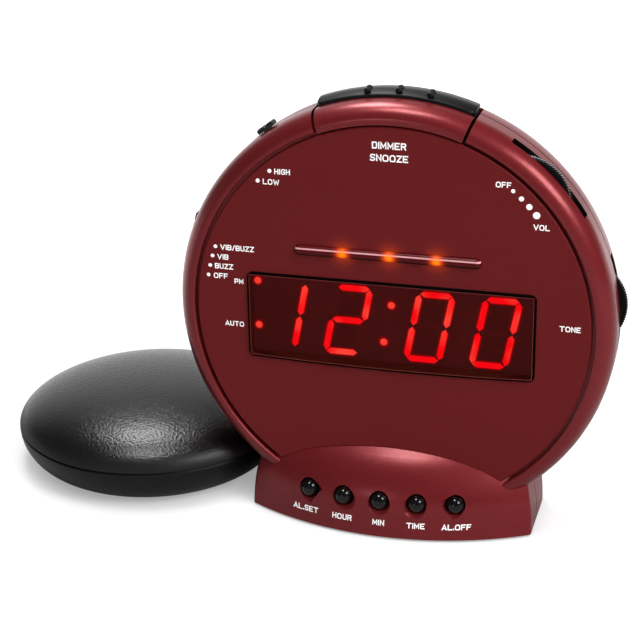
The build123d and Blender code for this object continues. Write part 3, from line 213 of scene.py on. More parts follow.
wall = add(tree, "ShaderNodeMapRange", {0: leftward.outputs[0], 1: 0.6, 2: 1.0, 3: ROOM, 4: BACKDROP},
           interpolation_type="SMOOTHSTEP")
room = add(tree, "ShaderNodeBackground", {"Color": (1, 1, 1, 1), "Strength": wall.outputs[0]})
white = add(tree, "ShaderNodeBackground", {"Color": (1, 1, 1, 1), "Strength": 1.0})
mixed = add(tree, "ShaderNodeMixShader", {
    0: path.outputs["Is Camera Ray"], 1: room.outputs[0], 2: white.outputs[0]})
add(tree, "ShaderNodeOutputWorld", {"Surface": mixed.outputs[0]})
print("room", ROOM, "backdrop", BACKDROP, "floor lift", NEAR_LIFT, "to", FAR_LIFT)


# %% Lamps
def softbox(name, place, target, width, height, power, mirrored=True):
    lamp = bpy.data.lights.new(name, "AREA")
    lamp.shape = "RECTANGLE"
    lamp.size, lamp.size_y, lamp.energy = width, height, power
    holder = bpy.data.objects.new(name, lamp)
    turn = (Vector(target) - Vector(place)).to_track_quat("-Z", "Y")
    holder.matrix_world = Matrix.Translation(place) @ turn.to_matrix().to_4x4()
    holder.visible_glossy = mirrored
    bpy.context.scene.collection.objects.link(holder)
    print(name, "lamp", power, "W")


softbox("overhead", (-0.3, 0.36, 1.0), (-0.02, 0.02, 0.04), width=0.24, height=0.3, power=4.8)
softbox("over_the_foot", (-0.1, -0.14, 1.0), (0, -0.01, 0.03), width=0.25, height=0.25, power=3.1)
softbox("upper_right", (0.9, -0.7, 0.8), (0, 0, 0.07), width=1.2, height=1.2, power=17.5, mirrored=False)
softbox("right_strip", (0.95, -0.35, 0.85), (0, 0, 0.07), width=0.5, height=0.5, power=7.5)
softbox("front_spot", (-0.25, -0.95, 0.21), (0, 0, 0.03), width=0.06, height=0.06, power=0.3)


# %% [markdown]
# ## Metallic maroon paint
# The case is moulded ABS, sprayed with a metallic paint: fine aluminium flakes in a red lacquer. Flakes lie
# at slightly different angles, so a highlight is broad and pink, with a fine sparkle. Cells of a Voronoi
# pattern stand for the flakes: each has its own brightness and its own small tilt. Real flakes are near 0.05
# mm. They are drawn at 0.3 mm, so that they show at this size. The face plate is the same red with fewer
# flakes and no coat.

# %% Paint
FLAKE, FLAKE_TILT, CLOUD = 0.3 * MM, 0.03, 40 * MM


def metallic_paint(name, code, metal, rough, sparkle, shine, coat):
    material, tree = blank(name)
    where = add(tree, "ShaderNodeTexCoord").outputs["Object"]
    flake = add(tree, "ShaderNodeTexVoronoi", {"Vector": where, "Scale": 1 / FLAKE})
    shade = add(tree, "ShaderNodeSeparateColor", {0: flake.outputs["Color"]})
    bright = add(tree, "ShaderNodeMapRange", {0: shade.outputs[0], 3: 1 - sparkle, 4: 1 + sparkle})
    cloud = add(tree, "ShaderNodeTexNoise", {"Vector": where, "Scale": 1 / CLOUD, "Detail": 2.0})
    drift = add(tree, "ShaderNodeMapRange", {0: cloud.outputs[0], 3: 0.94, 4: 1.06})
    both = add(tree, "ShaderNodeMath", {0: bright.outputs[0], 1: drift.outputs[0]}, operation="MULTIPLY")
    tint = add(tree, "ShaderNodeVectorMath", {0: colour(code)[:3], "Scale": both.outputs[0]},
               operation="SCALE")
    gloss = add(tree, "ShaderNodeMapRange", {0: shade.outputs[1], 3: rough - 0.04, 4: rough + 0.04})
    tilt = add(tree, "ShaderNodeBump", {
        "Strength": FLAKE_TILT, "Distance": 0.05 * MM, "Height": shade.outputs[2]})
    lacquer = add(tree, "ShaderNodeBsdfPrincipled", {
        "Base Color": tint.outputs[0], "Metallic": metal, "Roughness": gloss.outputs[0],
        "Specular IOR Level": shine, "Coat Weight": coat, "Coat Roughness": 0.2, "Normal": tilt.outputs[0]})
    close(tree, lacquer)
    return material, tree, lacquer


case_paint, tree, lacquer = metallic_paint(
    "metallic_maroon_paint", "#7c1e23", metal=0.5, rough=0.33, sparkle=0.12, shine=0.5, coat=0.25)
dress(case_paint, "front_case", "rear_case", "snooze_bar", "battery_door")
face_paint, face_tree, face_lacquer = metallic_paint(
    "satin_maroon_paint", "#6c1c1e", metal=0.15, rough=0.5, sparkle=0.07, shine=0.15, coat=0.0)
dress(face_paint, "face_plate")

# %% [markdown]
# Inside the drum and down the walls of the slots for the wheels and knobs, the paint turns near black and
# loses its metal: painted shade, which is why a slot reads as a dark line. The outer skin faces away from the
# drum's axis. A wall of a slot doesn't, so the part of the normal that points away from the axis tells them
# apart.

# %% Painted shade inside the slots
OUTWARD, SLOTS_ABOVE, SLOTS_FRONT, SLOTS_BACK = 0.6, 45, 3.5, 18.5
spot = object_place(tree)
outward = add(tree, "ShaderNodeVectorMath", {0: off_axis(tree, DRUM_AXIS)}, operation="NORMALIZE")
normal = add(tree, "ShaderNodeNewGeometry").outputs["Normal"]
facing = add(tree, "ShaderNodeVectorMath", {0: outward.outputs[0], 1: normal}, operation="DOT_PRODUCT")
painted_slot_shade = add(tree, "ShaderNodeMath", {0: facing.outputs["Value"], 1: OUTWARD}, operation="LESS_THAN")
slot_zone = (
    ("Z", SLOTS_ABOVE, "GREATER_THAN"), ("Y", SLOTS_FRONT, "GREATER_THAN"), ("Y", SLOTS_BACK, "LESS_THAN"))
for axis, limit, side in slot_zone:
    beyond = add(tree, "ShaderNodeMath", {0: spot[axis], 1: limit * MM}, operation=side)
    painted_slot_shade = add(tree, "ShaderNodeMath", {0: painted_slot_shade.outputs[0], 1: beyond.outputs[0]}, operation="MULTIPLY")
# Painted shade: near black where the surface doesn't face out from the drum's axis, in the zone of the slots.
paint = lacquer.inputs["Base Color"].links[0].from_socket
skin = add(tree, "ShaderNodeMix", {0: painted_slot_shade.outputs[0], 6: paint, 7: colour("#050405")}, data_type="RGBA")
metal = add(tree, "ShaderNodeMapRange", {
    0: painted_slot_shade.outputs[0], 3: lacquer.inputs["Metallic"].default_value, 4: 0.0})
tree.links.new(skin.outputs[2], lacquer.inputs["Base Color"])
tree.links.new(metal.outputs[0], lacquer.inputs["Metallic"])
print("bare walls behind", SLOTS_FRONT, "mm")


# %% [markdown]
# ## Black plastics and rubber
# The black surfaces differ in how they were made. The shaker's top is moulded in a tool that was etched with
# a leather grain, except for a smooth, duller band at its rim. The wheels, the knobs and the shaker's base
# are plain mouldings, and the round buttons are polished. The snooze pad is soft rubber with shiny bumps. A
# grain is bump and roughness, not colour.

# %% Black mouldings
def black_moulding(name, code, rough, grain_mm, depth_mm, strength, bend=1.5):
    material, tree = blank(name)
    where = add(tree, "ShaderNodeTexCoord").outputs["Object"]
    cells = add(tree, "ShaderNodeTexVoronoi", {"Vector": where, "Scale": 1 / (grain_mm * MM)},
                feature="SMOOTH_F1")
    fine = add(tree, "ShaderNodeTexNoise", {"Vector": where, "Scale": 2.2 / (grain_mm * MM), "Detail": 3.0})
    height = add(tree, "ShaderNodeMath", {0: fine.outputs[0], 1: 0.5, 2: cells.outputs["Distance"]},
                 operation="MULTIPLY_ADD")
    relief = add(tree, "ShaderNodeBump", {
        "Strength": strength, "Distance": depth_mm * MM, "Height": height.outputs[0]})
    wear_and_crest_sheen = add(tree, "ShaderNodeTexNoise", {"Vector": where, "Scale": 1 / (25 * MM), "Detail": 3.0})
    gloss = add(tree, "ShaderNodeMapRange", {0: wear_and_crest_sheen.outputs[0], 3: rough - 0.05, 4: rough + 0.05})
    plastic = add(tree, "ShaderNodeBsdfPrincipled", {
        "Base Color": colour(code), "Roughness": gloss.outputs[0], "IOR": bend, "Normal": relief.outputs[0]})
    close(tree, plastic)
    return material, tree, plastic, relief


RIM_LOW, RIM_HIGH = 15.0 * MM, 18.5 * MM
RIM_GRAIN, RIM_ROUGH, TOP_ROUGH = 0.1, 0.6, 0.26
grained, tree, plastic, relief = black_moulding(
    "leather_grained_abs", "#0a090a", rough=TOP_ROUGH, grain_mm=0.7, depth_mm=0.09, strength=1.0)
height = object_place(tree)["Z"]
rim_fades = ((RIM_GRAIN, 1.0, relief.inputs["Strength"]), (RIM_ROUGH, TOP_ROUGH, plastic.inputs["Roughness"]))
for low, high, socket in rim_fades:
    fade = add(tree, "ShaderNodeMapRange", {0: height, 1: RIM_LOW, 2: RIM_HIGH, 3: low, 4: high})
    tree.links.new(fade.outputs[0], socket)

PAD_TOP, BUMP_TOP = 70.4 * MM, 70.6 * MM
PAD_ROUGH, BUMP_ROUGH = 0.42, 0.08
soft_rubber, tree, plastic, _ = black_moulding(
    "soft_touch_rubber", "#070708", rough=PAD_ROUGH, grain_mm=0.5, depth_mm=0.02, strength=0.3, bend=1.34)
radius = add(tree, "ShaderNodeVectorMath", {0: off_axis(tree, DRUM_AXIS)}, operation="LENGTH")
on_bump = add(tree, "ShaderNodeMapRange", {
    0: radius.outputs["Value"], 1: PAD_TOP, 2: BUMP_TOP, 3: PAD_ROUGH, 4: BUMP_ROUGH})
tree.links.new(on_bump.outputs[0], plastic.inputs["Roughness"])

satin_black, *_ = black_moulding(
    "satin_black_abs", "#080809", rough=0.42, grain_mm=0.4, depth_mm=0.02, strength=0.3, bend=1.34)
plain_black, *_ = black_moulding(
    "moulded_black_abs", "#121213", rough=0.4, grain_mm=0.4, depth_mm=0.02, strength=0.3)
polished, *_ = black_moulding(
    "polished_black_abs", "#060607", rough=0.13, grain_mm=0.6, depth_mm=0.004, strength=0.2)
rubber, *_ = black_moulding(
    "black_rubber", "#161516", rough=0.5, grain_mm=0.5, depth_mm=0.02, strength=0.3)
dress(grained, "shaker_top_shell")
dress(satin_black, "shaker_bottom_shell")
dress(soft_rubber, "snooze_pad")
dress(plain_black, "volume_wheel", "tone_wheel", "level_knob", "mode_knob", "power_inlet", "shaker_socket",
      "battery_clip", "button_switches", "snooze_switch", "volume_pot", "tone_pot")
dress(polished, "alarm_set_button", "hour_button", "minute_button", "time_button", "alarm_off_button")
dress(rubber, "rubber_sole", "cord_gland")


# %% [markdown]
# ## Metals, boards and paper inside
# Most of these pieces show only through the grille or with the battery door open, but each has its own
# finish.

# %% Metals and inner pieces
def plated(name, code, rough, line_mm):
    material, tree = blank(name)
    where = add(tree, "ShaderNodeTexCoord").outputs["Object"]
    lines = add(tree, "ShaderNodeTexNoise", {"Vector": where, "Scale": 1 / (line_mm * MM), "Detail": 4.0})
    gloss = add(tree, "ShaderNodeMapRange", {0: lines.outputs[0], 3: rough - 0.08, 4: rough + 0.08})
    tint = add(tree, "ShaderNodeMapRange", {0: lines.outputs[0], 3: 0.9, 4: 1.05})
    shade = add(tree, "ShaderNodeVectorMath", {0: colour(code)[:3], "Scale": tint.outputs[0]},
                operation="SCALE")
    close(tree, add(tree, "ShaderNodeBsdfPrincipled", {
        "Base Color": shade.outputs[0], "Metallic": 1.0, "Roughness": gloss.outputs[0]}))
    return material


zinc = plated("zinc_plated_steel", "#b9bbbd", rough=0.35, line_mm=1.2)
dress(zinc, "board_screws", "case_screws", "shaker_screws", "level_switch", "mode_switch", "speaker_frame",
      "shaker_motor", "motor_clamp", "motor_shaft")
dress(plated("turned_brass", "#b08d4c", rough=0.3, line_mm=0.8), "eccentric_weight")


def speckled(name, code, rough, grain_mm, spread):
    material, tree = blank(name)
    where = add(tree, "ShaderNodeTexCoord").outputs["Object"]
    grain = add(tree, "ShaderNodeTexNoise", {"Vector": where, "Scale": 1 / (grain_mm * MM), "Detail": 5.0})
    tint = add(tree, "ShaderNodeMapRange", {0: grain.outputs[0], 3: 1 - spread, 4: 1 + spread})
    shade = add(tree, "ShaderNodeVectorMath", {0: colour(code)[:3], "Scale": tint.outputs[0]},
                operation="SCALE")
    relief = add(tree, "ShaderNodeBump", {"Strength": 0.3, "Distance": 0.05 * MM, "Height": grain.outputs[0]})
    close(tree, add(tree, "ShaderNodeBsdfPrincipled", {
        "Base Color": shade.outputs[0], "Roughness": rough, "Normal": relief.outputs[0]}))
    return material


dress(speckled("lacquered_board", "#1f5c37", rough=0.4, grain_mm=3.0, spread=0.2),
      "main_board", "button_board")
dress(speckled("pressed_paper_cone", "#2a2928", rough=0.85, grain_mm=0.8, spread=0.35),
      "speaker_cone")
dress(speckled("sintered_ferrite", "#3a3a3c", rough=0.6, grain_mm=0.5, spread=0.25),
      "speaker_magnet")
dress(speckled("battery_wrap", "#3b3f46", rough=0.3, grain_mm=4.0, spread=0.1),
      "backup_battery")

# %% [markdown]
# ## Window, figures and lamps
# The window is a red acrylic filter with a fine black border printed round its front. It could be one dark
# gloss colour, but then the figures would lie on top of it. Here the middle lets light through and the border
# doesn't. Its sides, and the ring of its back that sits on the case, are opaque, with a faint painted glow for
# the little of the figures' red that they would catch. A real filter is chosen to mirror little of the room, so
# its IOR is set low. The lower edge bows down, and the border with it.

# %% Window
WINDOW_MIDDLE = Vector((0, 0, FACE_HEIGHT - 1.25)) * MM
WINDOW_HALF = Vector((45.0, 0, 14.05)) * MM
BOW, BORDER, BLUR = 1.0 * MM, 0.8 * MM, 0.1 * MM
FRONT_FACE, SIDES_FROM, BACK_FACE, SEAT = 0.0, 0.1 * MM, 1.5 * MM, 1.0 * MM
material, tree = blank("red_acrylic_filter")
where = add(tree, "ShaderNodeTexCoord").outputs["Object"]
depth = object_place(tree)["Y"]
off = add(tree, "ShaderNodeVectorMath", {0: where, 1: WINDOW_MIDDLE}, operation="SUBTRACT")
signed = add(tree, "ShaderNodeSeparateXYZ", {0: off.outputs[0]}).outputs
folded = add(tree, "ShaderNodeVectorMath", {0: off.outputs[0]}, operation="ABSOLUTE")
span = add(tree, "ShaderNodeSeparateXYZ", {0: folded.outputs[0]}).outputs
side_gap = add(tree, "ShaderNodeMath", {0: WINDOW_HALF.x, 1: span["X"]}, operation="SUBTRACT")
end_gap = add(tree, "ShaderNodeMath", {0: WINDOW_HALF.z, 1: span["Z"]}, operation="SUBTRACT")
top_gap = add(tree, "ShaderNodeMath", {0: WINDOW_HALF.z, 1: signed["Z"]}, operation="SUBTRACT")
share = add(tree, "ShaderNodeMath", {0: signed["X"], 1: WINDOW_HALF.x}, operation="DIVIDE")
square = add(tree, "ShaderNodeMath", {0: share.outputs[0], 1: 2.0}, operation="POWER")
low_gap = add(tree, "ShaderNodeMath", {0: signed["Z"], 1: WINDOW_HALF.z + BOW}, operation="ADD")
low_gap = add(tree, "ShaderNodeMath", {0: square.outputs[0], 1: -BOW, 2: low_gap.outputs[0]},
              operation="MULTIPLY_ADD")
rim = side_gap
for gap in (top_gap, low_gap):
    rim = add(tree, "ShaderNodeMath", {0: rim.outputs[0], 1: gap.outputs[0]}, operation="MINIMUM")
inner = add(tree, "ShaderNodeMapRange", {0: rim.outputs[0], 1: BORDER - BLUR, 2: BORDER + BLUR})
behind = add(tree, "ShaderNodeMath", {0: depth, 1: FRONT_FACE}, operation="GREATER_THAN")
clear = add(tree, "ShaderNodeMath", {0: inner.outputs[0], 1: behind.outputs[0]}, operation="MAXIMUM")
print("window border", round(BORDER / MM, 2), "mm")

# %% Window's sides, seat and dye
normal = add(tree, "ShaderNodeSeparateXYZ", {0: add(tree, "ShaderNodeNewGeometry").outputs["Normal"]})
ahead = add(tree, "ShaderNodeMath", {0: normal.outputs["Y"]}, operation="ABSOLUTE")
broad = add(tree, "ShaderNodeMath", {0: ahead.outputs[0], 1: 0.5}, operation="GREATER_THAN")
edge = add(tree, "ShaderNodeMath", {0: 1.0, 1: broad.outputs[0]}, operation="SUBTRACT")
sunk = add(tree, "ShaderNodeMath", {0: depth, 1: SIDES_FROM}, operation="GREATER_THAN")
sides = add(tree, "ShaderNodeMath", {0: edge.outputs[0], 1: sunk.outputs[0]}, operation="MULTIPLY")
nearest = add(tree, "ShaderNodeMath", {0: side_gap.outputs[0], 1: end_gap.outputs[0]}, operation="MINIMUM")
ledge = add(tree, "ShaderNodeMath", {0: nearest.outputs[0], 1: SEAT}, operation="LESS_THAN")
rear = add(tree, "ShaderNodeMath", {0: depth, 1: BACK_FACE}, operation="GREATER_THAN")
seated = add(tree, "ShaderNodeMath", {0: ledge.outputs[0], 1: rear.outputs[0]}, operation="MULTIPLY")
free = add(tree, "ShaderNodeMath", {0: 1.0, 1: seated.outputs[0]}, operation="SUBTRACT")
for open_part in (broad, free):
    clear = add(tree, "ShaderNodeMath", {0: clear.outputs[0], 1: open_part.outputs[0]}, operation="MULTIPLY")
# Painted glow on the opaque sides and the seat, for the figures' red light that falls there.
painted_edge_glow = add(tree, "ShaderNodeMath", {0: sides.outputs[0], 1: seated.outputs[0]}, operation="MAXIMUM")
cast = add(tree, "ShaderNodeTexNoise", {"Vector": where, "Scale": 1 / (18 * MM), "Detail": 1.0})
deep = add(tree, "ShaderNodeMapRange", {0: cast.outputs[0], 3: 0.9, 4: 1.05})
dye = add(tree, "ShaderNodeVectorMath", {0: colour("#f4786a")[:3], "Scale": deep.outputs[0]},
          operation="SCALE")
tint = add(tree, "ShaderNodeMix", {0: clear.outputs[0], 6: colour("#070405"), 7: dye.outputs[0]},
           data_type="RGBA")
close(tree, add(tree, "ShaderNodeBsdfPrincipled", {
    "Base Color": tint.outputs[2], "Roughness": 0.05, "IOR": 1.03, "Transmission Weight": clear.outputs[0],
    "Emission Color": colour("#3e1f19"), "Emission Strength": painted_edge_glow.outputs[0]}))
dress(material, "display_window")

# %% [markdown]
# The display's front is matt black, with a faint painted grey glow that dims a little near the figures. The
# four figures lie at two distances from the middle, left and right, so one folded distance serves all four.

# %% Display
FIGURES_X, FIGURES_Z = -0.75, FACE_HEIGHT - 1.45
INNER_X, OUTER_X = 12.8, 33.2
HAZE_WIDE, HAZE_TALL = 8 * MM, 13 * MM
material, tree = blank("matt_black_display")
spot = object_place(tree)
across = add(tree, "ShaderNodeMath", {0: spot["X"], 1: FIGURES_X * MM}, operation="SUBTRACT")
folded = add(tree, "ShaderNodeMath", {0: across.outputs[0]}, operation="ABSOLUTE")
halfway = add(tree, "ShaderNodeMath", {0: folded.outputs[0], 1: (INNER_X + OUTER_X) / 2 * MM},
              operation="SUBTRACT")
twice = add(tree, "ShaderNodeMath", {0: halfway.outputs[0]}, operation="ABSOLUTE")
off_x = add(tree, "ShaderNodeMath", {0: twice.outputs[0], 1: (OUTER_X - INNER_X) / 2 * MM},
            operation="SUBTRACT")
off_z = add(tree, "ShaderNodeMath", {0: spot["Z"], 1: FIGURES_Z * MM}, operation="SUBTRACT")
flat = add(tree, "ShaderNodeCombineXYZ", {0: off_x.outputs[0], 2: off_z.outputs[0]})
shrink = (1 / HAZE_WIDE, 0, 1 / HAZE_TALL)
scaled = add(tree, "ShaderNodeVectorMath", {0: flat.outputs[0], 1: shrink}, operation="MULTIPLY")
square = add(tree, "ShaderNodeVectorMath", {0: scaled.outputs[0], 1: scaled.outputs[0]},
             operation="DOT_PRODUCT")
# Painted glow: the film's grey is emission, a little weaker near the figures.
haze = add(tree, "ShaderNodeMath", {0: 0.4, 1: square.outputs["Value"]}, operation="POWER")
power = add(tree, "ShaderNodeMapRange", {0: haze.outputs[0], 3: 1.2, 4: 0.9})
close(tree, add(tree, "ShaderNodeBsdfPrincipled", {
    "Base Color": colour("#0c0405"), "Roughness": 0.7,
    "Emission Color": colour("#2b272f"), "Emission Strength": power.outputs[0]}))
dress(material, "led_display")


# %% [markdown]
# The window is larger than the display block behind it. A mask in the same matt black, with the same painted
# grey glow, fills the rest of the window, so that nobody looks past the display into the case. It is a flat
# frame that starts at the block's edge.

# %% Display mask
MASK_T = 0.3 * MM


def extent(name):
    points = [v.co for v in nodes[name].data.vertices]
    return [(min(p[k] for p in points), max(p[k] for p in points)) for k in range(3)]


block = extent("led_display")
hole = WINDOW_HALF - Vector((SEAT, 0, SEAT))
outer = [(WINDOW_MIDDLE[k] - hole[k], WINDOW_MIDDLE[k] + hole[k]) for k in range(3)]
verts = []
for y in (block[1][0], block[1][0] + MASK_T):
    for (x0, x1), _, (z0, z1) in (outer, block):
        verts += [(x0, y, z0), (x1, y, z0), (x1, y, z1), (x0, y, z1)]
faces = []
for k in range(4):
    n = (k + 1) % 4
    faces += [(k, n, 4 + n, 4 + k), (8 + k, 12 + k, 12 + n, 8 + n)]
    faces += [(k, 8 + k, 8 + n, n), (4 + k, 4 + n, 12 + n, 12 + k)]
mesh = bpy.data.meshes.new("display_mask")
mesh.from_pydata(verts, [], faces)
mesh.materials.append(material)
mask = bpy.data.objects.new("display_mask", mesh)
bpy.context.scene.collection.objects.link(mask)
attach(mask, "case")
print("display_mask", len(mesh.polygons), "faces")


# %% [markdown]
# A lit bar is a moulded light guide that glows through a film. It is brighter where its lamp sits, so two
# colours are mixed by a soft noise. An unlit guide has the display's painted grey glow. The amber lamps use
# the same material.

# %% Lit colours
def lit(name, dull, core, strength, base):
    material, tree = blank(name)
    where = add(tree, "ShaderNodeTexCoord").outputs["Object"]
    grain = add(tree, "ShaderNodeTexNoise", {"Vector": where, "Scale": 1 / (6.0 * MM), "Detail": 0.0})
    hot = add(tree, "ShaderNodeMapRange", {0: grain.outputs[0], 1: 0.5, 2: 0.85})
    shade = add(tree, "ShaderNodeMix", {0: hot.outputs[0], 6: colour(dull), 7: colour(core)},
                data_type="RGBA")
    close(tree, add(tree, "ShaderNodeBsdfPrincipled", {
        "Base Color": colour(base), "Roughness": 0.5,
        "Emission Color": shade.outputs[2], "Emission Strength": strength}))
    return material


lit_red = lit("lit_red_light_guide", "#fa1438", "#ff968e", 1.05, "#3a0808")
# Painted glow: an unlit bar gets the display's grey as emission.
unlit_red = lit("unlit_light_guide", "#2b272f", "#2d2931", 0.95, "#0c0405")
dress(lit("lit_amber_lamp", "#ff8a1c", "#ffb04a", 4.0, "#a05010"), "alert_leds")

# %% [markdown]
# The CAD model has all segments of the four figures in one node. A copy of that mesh is cut into its separate
# bars, and each bar goes to the lit or the unlit piece: the clock shows twelve o'clock, as in the photograph.
# A lit bar also scatters light into the dull film round it. Two thin copies of the bars, a little wider and
# much dimmer, lie on the display and stand for it. A dot's haze reaches further than a bar's.

# %% Figures
DIGITS = ((-OUTER_X, "bc"), (-INNER_X, "abged"), (INNER_X, "abcdef"), (OUTER_X, "abcdef"))
LEAN = math.tan(math.radians(11))
BAR_LONGER, DOT_HAZE = 0.225, 0.35


def bar_state(x, z):
    """The bar's letter, or a dot, and whether it is lit."""
    z -= FIGURES_Z
    x -= FIGURES_X + z * LEAN
    if min(abs(x - place) for place, bars in DIGITS) > 7:
        return "dot", True
    place, bars = min(DIGITS, key=lambda digit: abs(x - digit[0]))
    if abs(x - place) < 1:
        name = "g" if abs(z) < 3 else "a" if z > 0 else "d"
    elif x > place:
        name = "b" if z > 0 else "c"
    else:
        name = "f" if z > 0 else "e"
    return name, name in bars


def grown(point, middle, half, name, along, across):
    """A bar's point, moved out from the bar's middle: along the bar, which leans, and across it."""
    off = (point - middle) / MM
    lean = off.z * LEAN
    wide, tall = (along, across) if name in "agd" else (across, along)
    if name == "dot":
        wide = tall = across + DOT_HAZE * (across > 0)
    z = off.z * (1 + tall / half.z)
    x = (off.x - lean) * (1 + wide / half.x) + z * LEAN
    return Vector((middle.x + x * MM, point.y, middle.z + z * MM))


whole = bmesh.new()
whole.from_mesh(nodes["display_segments"].data)
bmesh.ops.remove_doubles(whole, verts=whole.verts, dist=1e-6)
todo, islands = set(whole.verts), []
while todo:
    stack = [todo.pop()]
    island = set(stack)
    while stack:
        for edge in stack.pop().link_edges:
            for vert in edge.verts:
                if vert not in island:
                    island.add(vert)
                    stack.append(vert)
    todo -= island
    islands.append(island)


def figure_piece(name, wanted, material, spread, lift, thick=None):
    """Some of the bars as one piece, spread and lifted by some mm, and flattened to a given thickness."""
    copy = whole.copy()
    copy.verts.ensure_lookup_table()
    drop = []
    for island in islands:
        middle = sum((v.co for v in island), Vector()) / len(island)
        letter, is_lit = bar_state(middle.x / MM, middle.z / MM)
        if not wanted(letter, is_lit):
            drop.extend(v.index for v in island)
            continue
        half = Vector([max(abs((v.co - middle)[k]) for v in island) / MM for k in range(3)])
        half.x = max(abs((v.co - middle).x - (v.co - middle).z * LEAN) for v in island) / MM
        front = min(v.co.y for v in island)
        for v in island:
            moved = grown(v.co, middle, half, letter, BAR_LONGER, spread)
            if thick is not None:
                moved.y = front + (thick * MM if v.co.y > front + 1e-6 else 0)
            moved.y -= lift * MM
            copy.verts[v.index].co = moved
    bmesh.ops.delete(copy, geom=[copy.verts[k] for k in drop], context="VERTS")
    mesh = bpy.data.meshes.new(name)
    copy.to_mesh(mesh)
    copy.free()
    mesh.materials.append(material)
    piece = bpy.data.objects.new(name, mesh)
    bpy.context.scene.collection.objects.link(piece)
    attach(piece, "case")
    print(name, len(mesh.polygons), "faces")
    return piece


whole.verts.index_update()
lit_dots = lit("lit_red_dot", "#ff8a84", "#ffb0a8", 1.0, "#3a0808")
haze_near = lit("red_haze_near", "#a81020", "#b41424", 0.75, "#1c0405")
haze_far = lit("red_haze_far", "#601418", "#68161a", 0.85, "#140404")
bars = figure_piece("lit_bars", lambda bar, on: on and bar != "dot", lit_red, spread=-0.22, lift=0.12)
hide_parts("display_segments")
glowing_dots = figure_piece("lit_dots", lambda bar, on: bar == "dot", lit_dots, spread=0.0, lift=0.12)
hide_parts("display_segments")
dark_bars = figure_piece("unlit_bars", lambda bar, on: not on, unlit_red, spread=0.0, lift=0.0)
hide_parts("display_segments")
figure_piece("near_haze", lambda bar, on: on, haze_near, spread=0.02, lift=0.08, thick=0.05)
figure_piece("far_haze", lambda bar, on: on, haze_far, spread=0.4, lift=0.03, thick=0.02)
whole.free()

# %% [markdown]
# The light bar is a red half-round lens over three amber lamps. It gathers the light from above in a pale
# line along its upper half, which is a painted highlight there, because the bar is opaque here. Its lower edge
# turns near black: painted shade, for the gap under it. Each lamp shows as a round glow in the lens, with a
# weaker halo on the paint round it. The lamps lie behind the lens, so from the camera's side the glows stand a
# little to the right of them. Glow and halo come from one small group of nodes: the distance to the nearest
# lamp, and a fall with it. The walls of the window's opening get a little of the same light.

# %% Light bar
LAMPS_X, BAR_Z, LAMP_PITCH = 0.15, FACE_HEIGHT + 21.3, 14.5
CORE_REACH, CORE_POWER, HALO_REACH, HALO_POWER = 1.4, 1.5, 2.6, 0.4
WALL_POWER, WALL_DEPTH, WALL_MARGIN = 0.05, 0.3 * MM, 1.2 * MM
HIGHLIGHT_LOW, HIGHLIGHT_FULL, HIGHLIGHT_FADE, HIGHLIGHT_HIGH = 0.35, 0.6, 0.8, 1.05
GAP_SHADE_LOW, GAP_SHADE_HIGH = 1.2, 0.7


def lamp_glow(tree, reach):
    spot = object_place(tree)
    x = add(tree, "ShaderNodeMath", {0: spot["X"], 1: LAMPS_X * MM}, operation="SUBTRACT")
    step = add(tree, "ShaderNodeMath", {0: x.outputs[0], 1: LAMP_PITCH * MM}, operation="DIVIDE")
    whole_step = add(tree, "ShaderNodeMath", {0: step.outputs[0]}, operation="ROUND")
    lamp = add(tree, "ShaderNodeClamp", {0: whole_step.outputs[0], 1: -1.0, 2: 1.0})
    lamp_x = add(tree, "ShaderNodeMath", {0: lamp.outputs[0], 1: LAMP_PITCH * MM}, operation="MULTIPLY")
    off_x = add(tree, "ShaderNodeMath", {0: x.outputs[0], 1: lamp_x.outputs[0]}, operation="SUBTRACT")
    off_z = add(tree, "ShaderNodeMath", {0: spot["Z"], 1: BAR_Z * MM}, operation="SUBTRACT")
    flat = add(tree, "ShaderNodeCombineXYZ", {0: off_x.outputs[0], 2: off_z.outputs[0]})
    scaled = add(tree, "ShaderNodeVectorMath", {0: flat.outputs[0], "Scale": 1 / (reach * MM)},
                 operation="SCALE")
    square = add(tree, "ShaderNodeVectorMath", {0: scaled.outputs[0], 1: scaled.outputs[0]},
                 operation="DOT_PRODUCT")
    return add(tree, "ShaderNodeMath", {0: 0.5, 1: square.outputs["Value"]}, operation="POWER")


material, tree = blank("red_light_pipe")
core = lamp_glow(tree, CORE_REACH)
power = add(tree, "ShaderNodeMath", {0: core.outputs[0], 1: CORE_POWER}, operation="MULTIPLY")
amber = add(tree, "ShaderNodeMix", {0: core.outputs[0], 6: colour("#ff3c00"), 7: colour("#ff7c00")},
            data_type="RGBA")
where = add(tree, "ShaderNodeTexCoord").outputs["Object"]
swirl = add(tree, "ShaderNodeTexNoise", {"Vector": where, "Scale": 1 / (6 * MM), "Detail": 1.0})
height = object_place(tree)["Z"]
# Painted highlight: a pale band along the upper half of the lens.
top = add(tree, "ShaderNodeMapRange", {0: height, 1: (BAR_Z + HIGHLIGHT_LOW) * MM, 2: (BAR_Z + HIGHLIGHT_FULL) * MM},
          interpolation_type="SMOOTHSTEP")
edge = add(tree, "ShaderNodeMapRange", {
    0: height, 1: (BAR_Z + HIGHLIGHT_FADE) * MM, 2: (BAR_Z + HIGHLIGHT_HIGH) * MM, 3: 1.0, 4: 0.0})
painted_highlight_band = add(tree, "ShaderNodeMath", {0: top.outputs[0], 1: edge.outputs[0]}, operation="MULTIPLY")
deep = add(tree, "ShaderNodeMix", {0: swirl.outputs[0], 6: colour("#4a0b0d"), 7: colour("#5a1012")},
           data_type="RGBA")
dimmed = add(tree, "ShaderNodeMath", {0: core.outputs[0], 1: -0.8, 2: 1.0}, operation="MULTIPLY_ADD")
line = add(tree, "ShaderNodeMath", {0: painted_highlight_band.outputs[0], 1: dimmed.outputs[0]}, operation="MULTIPLY")
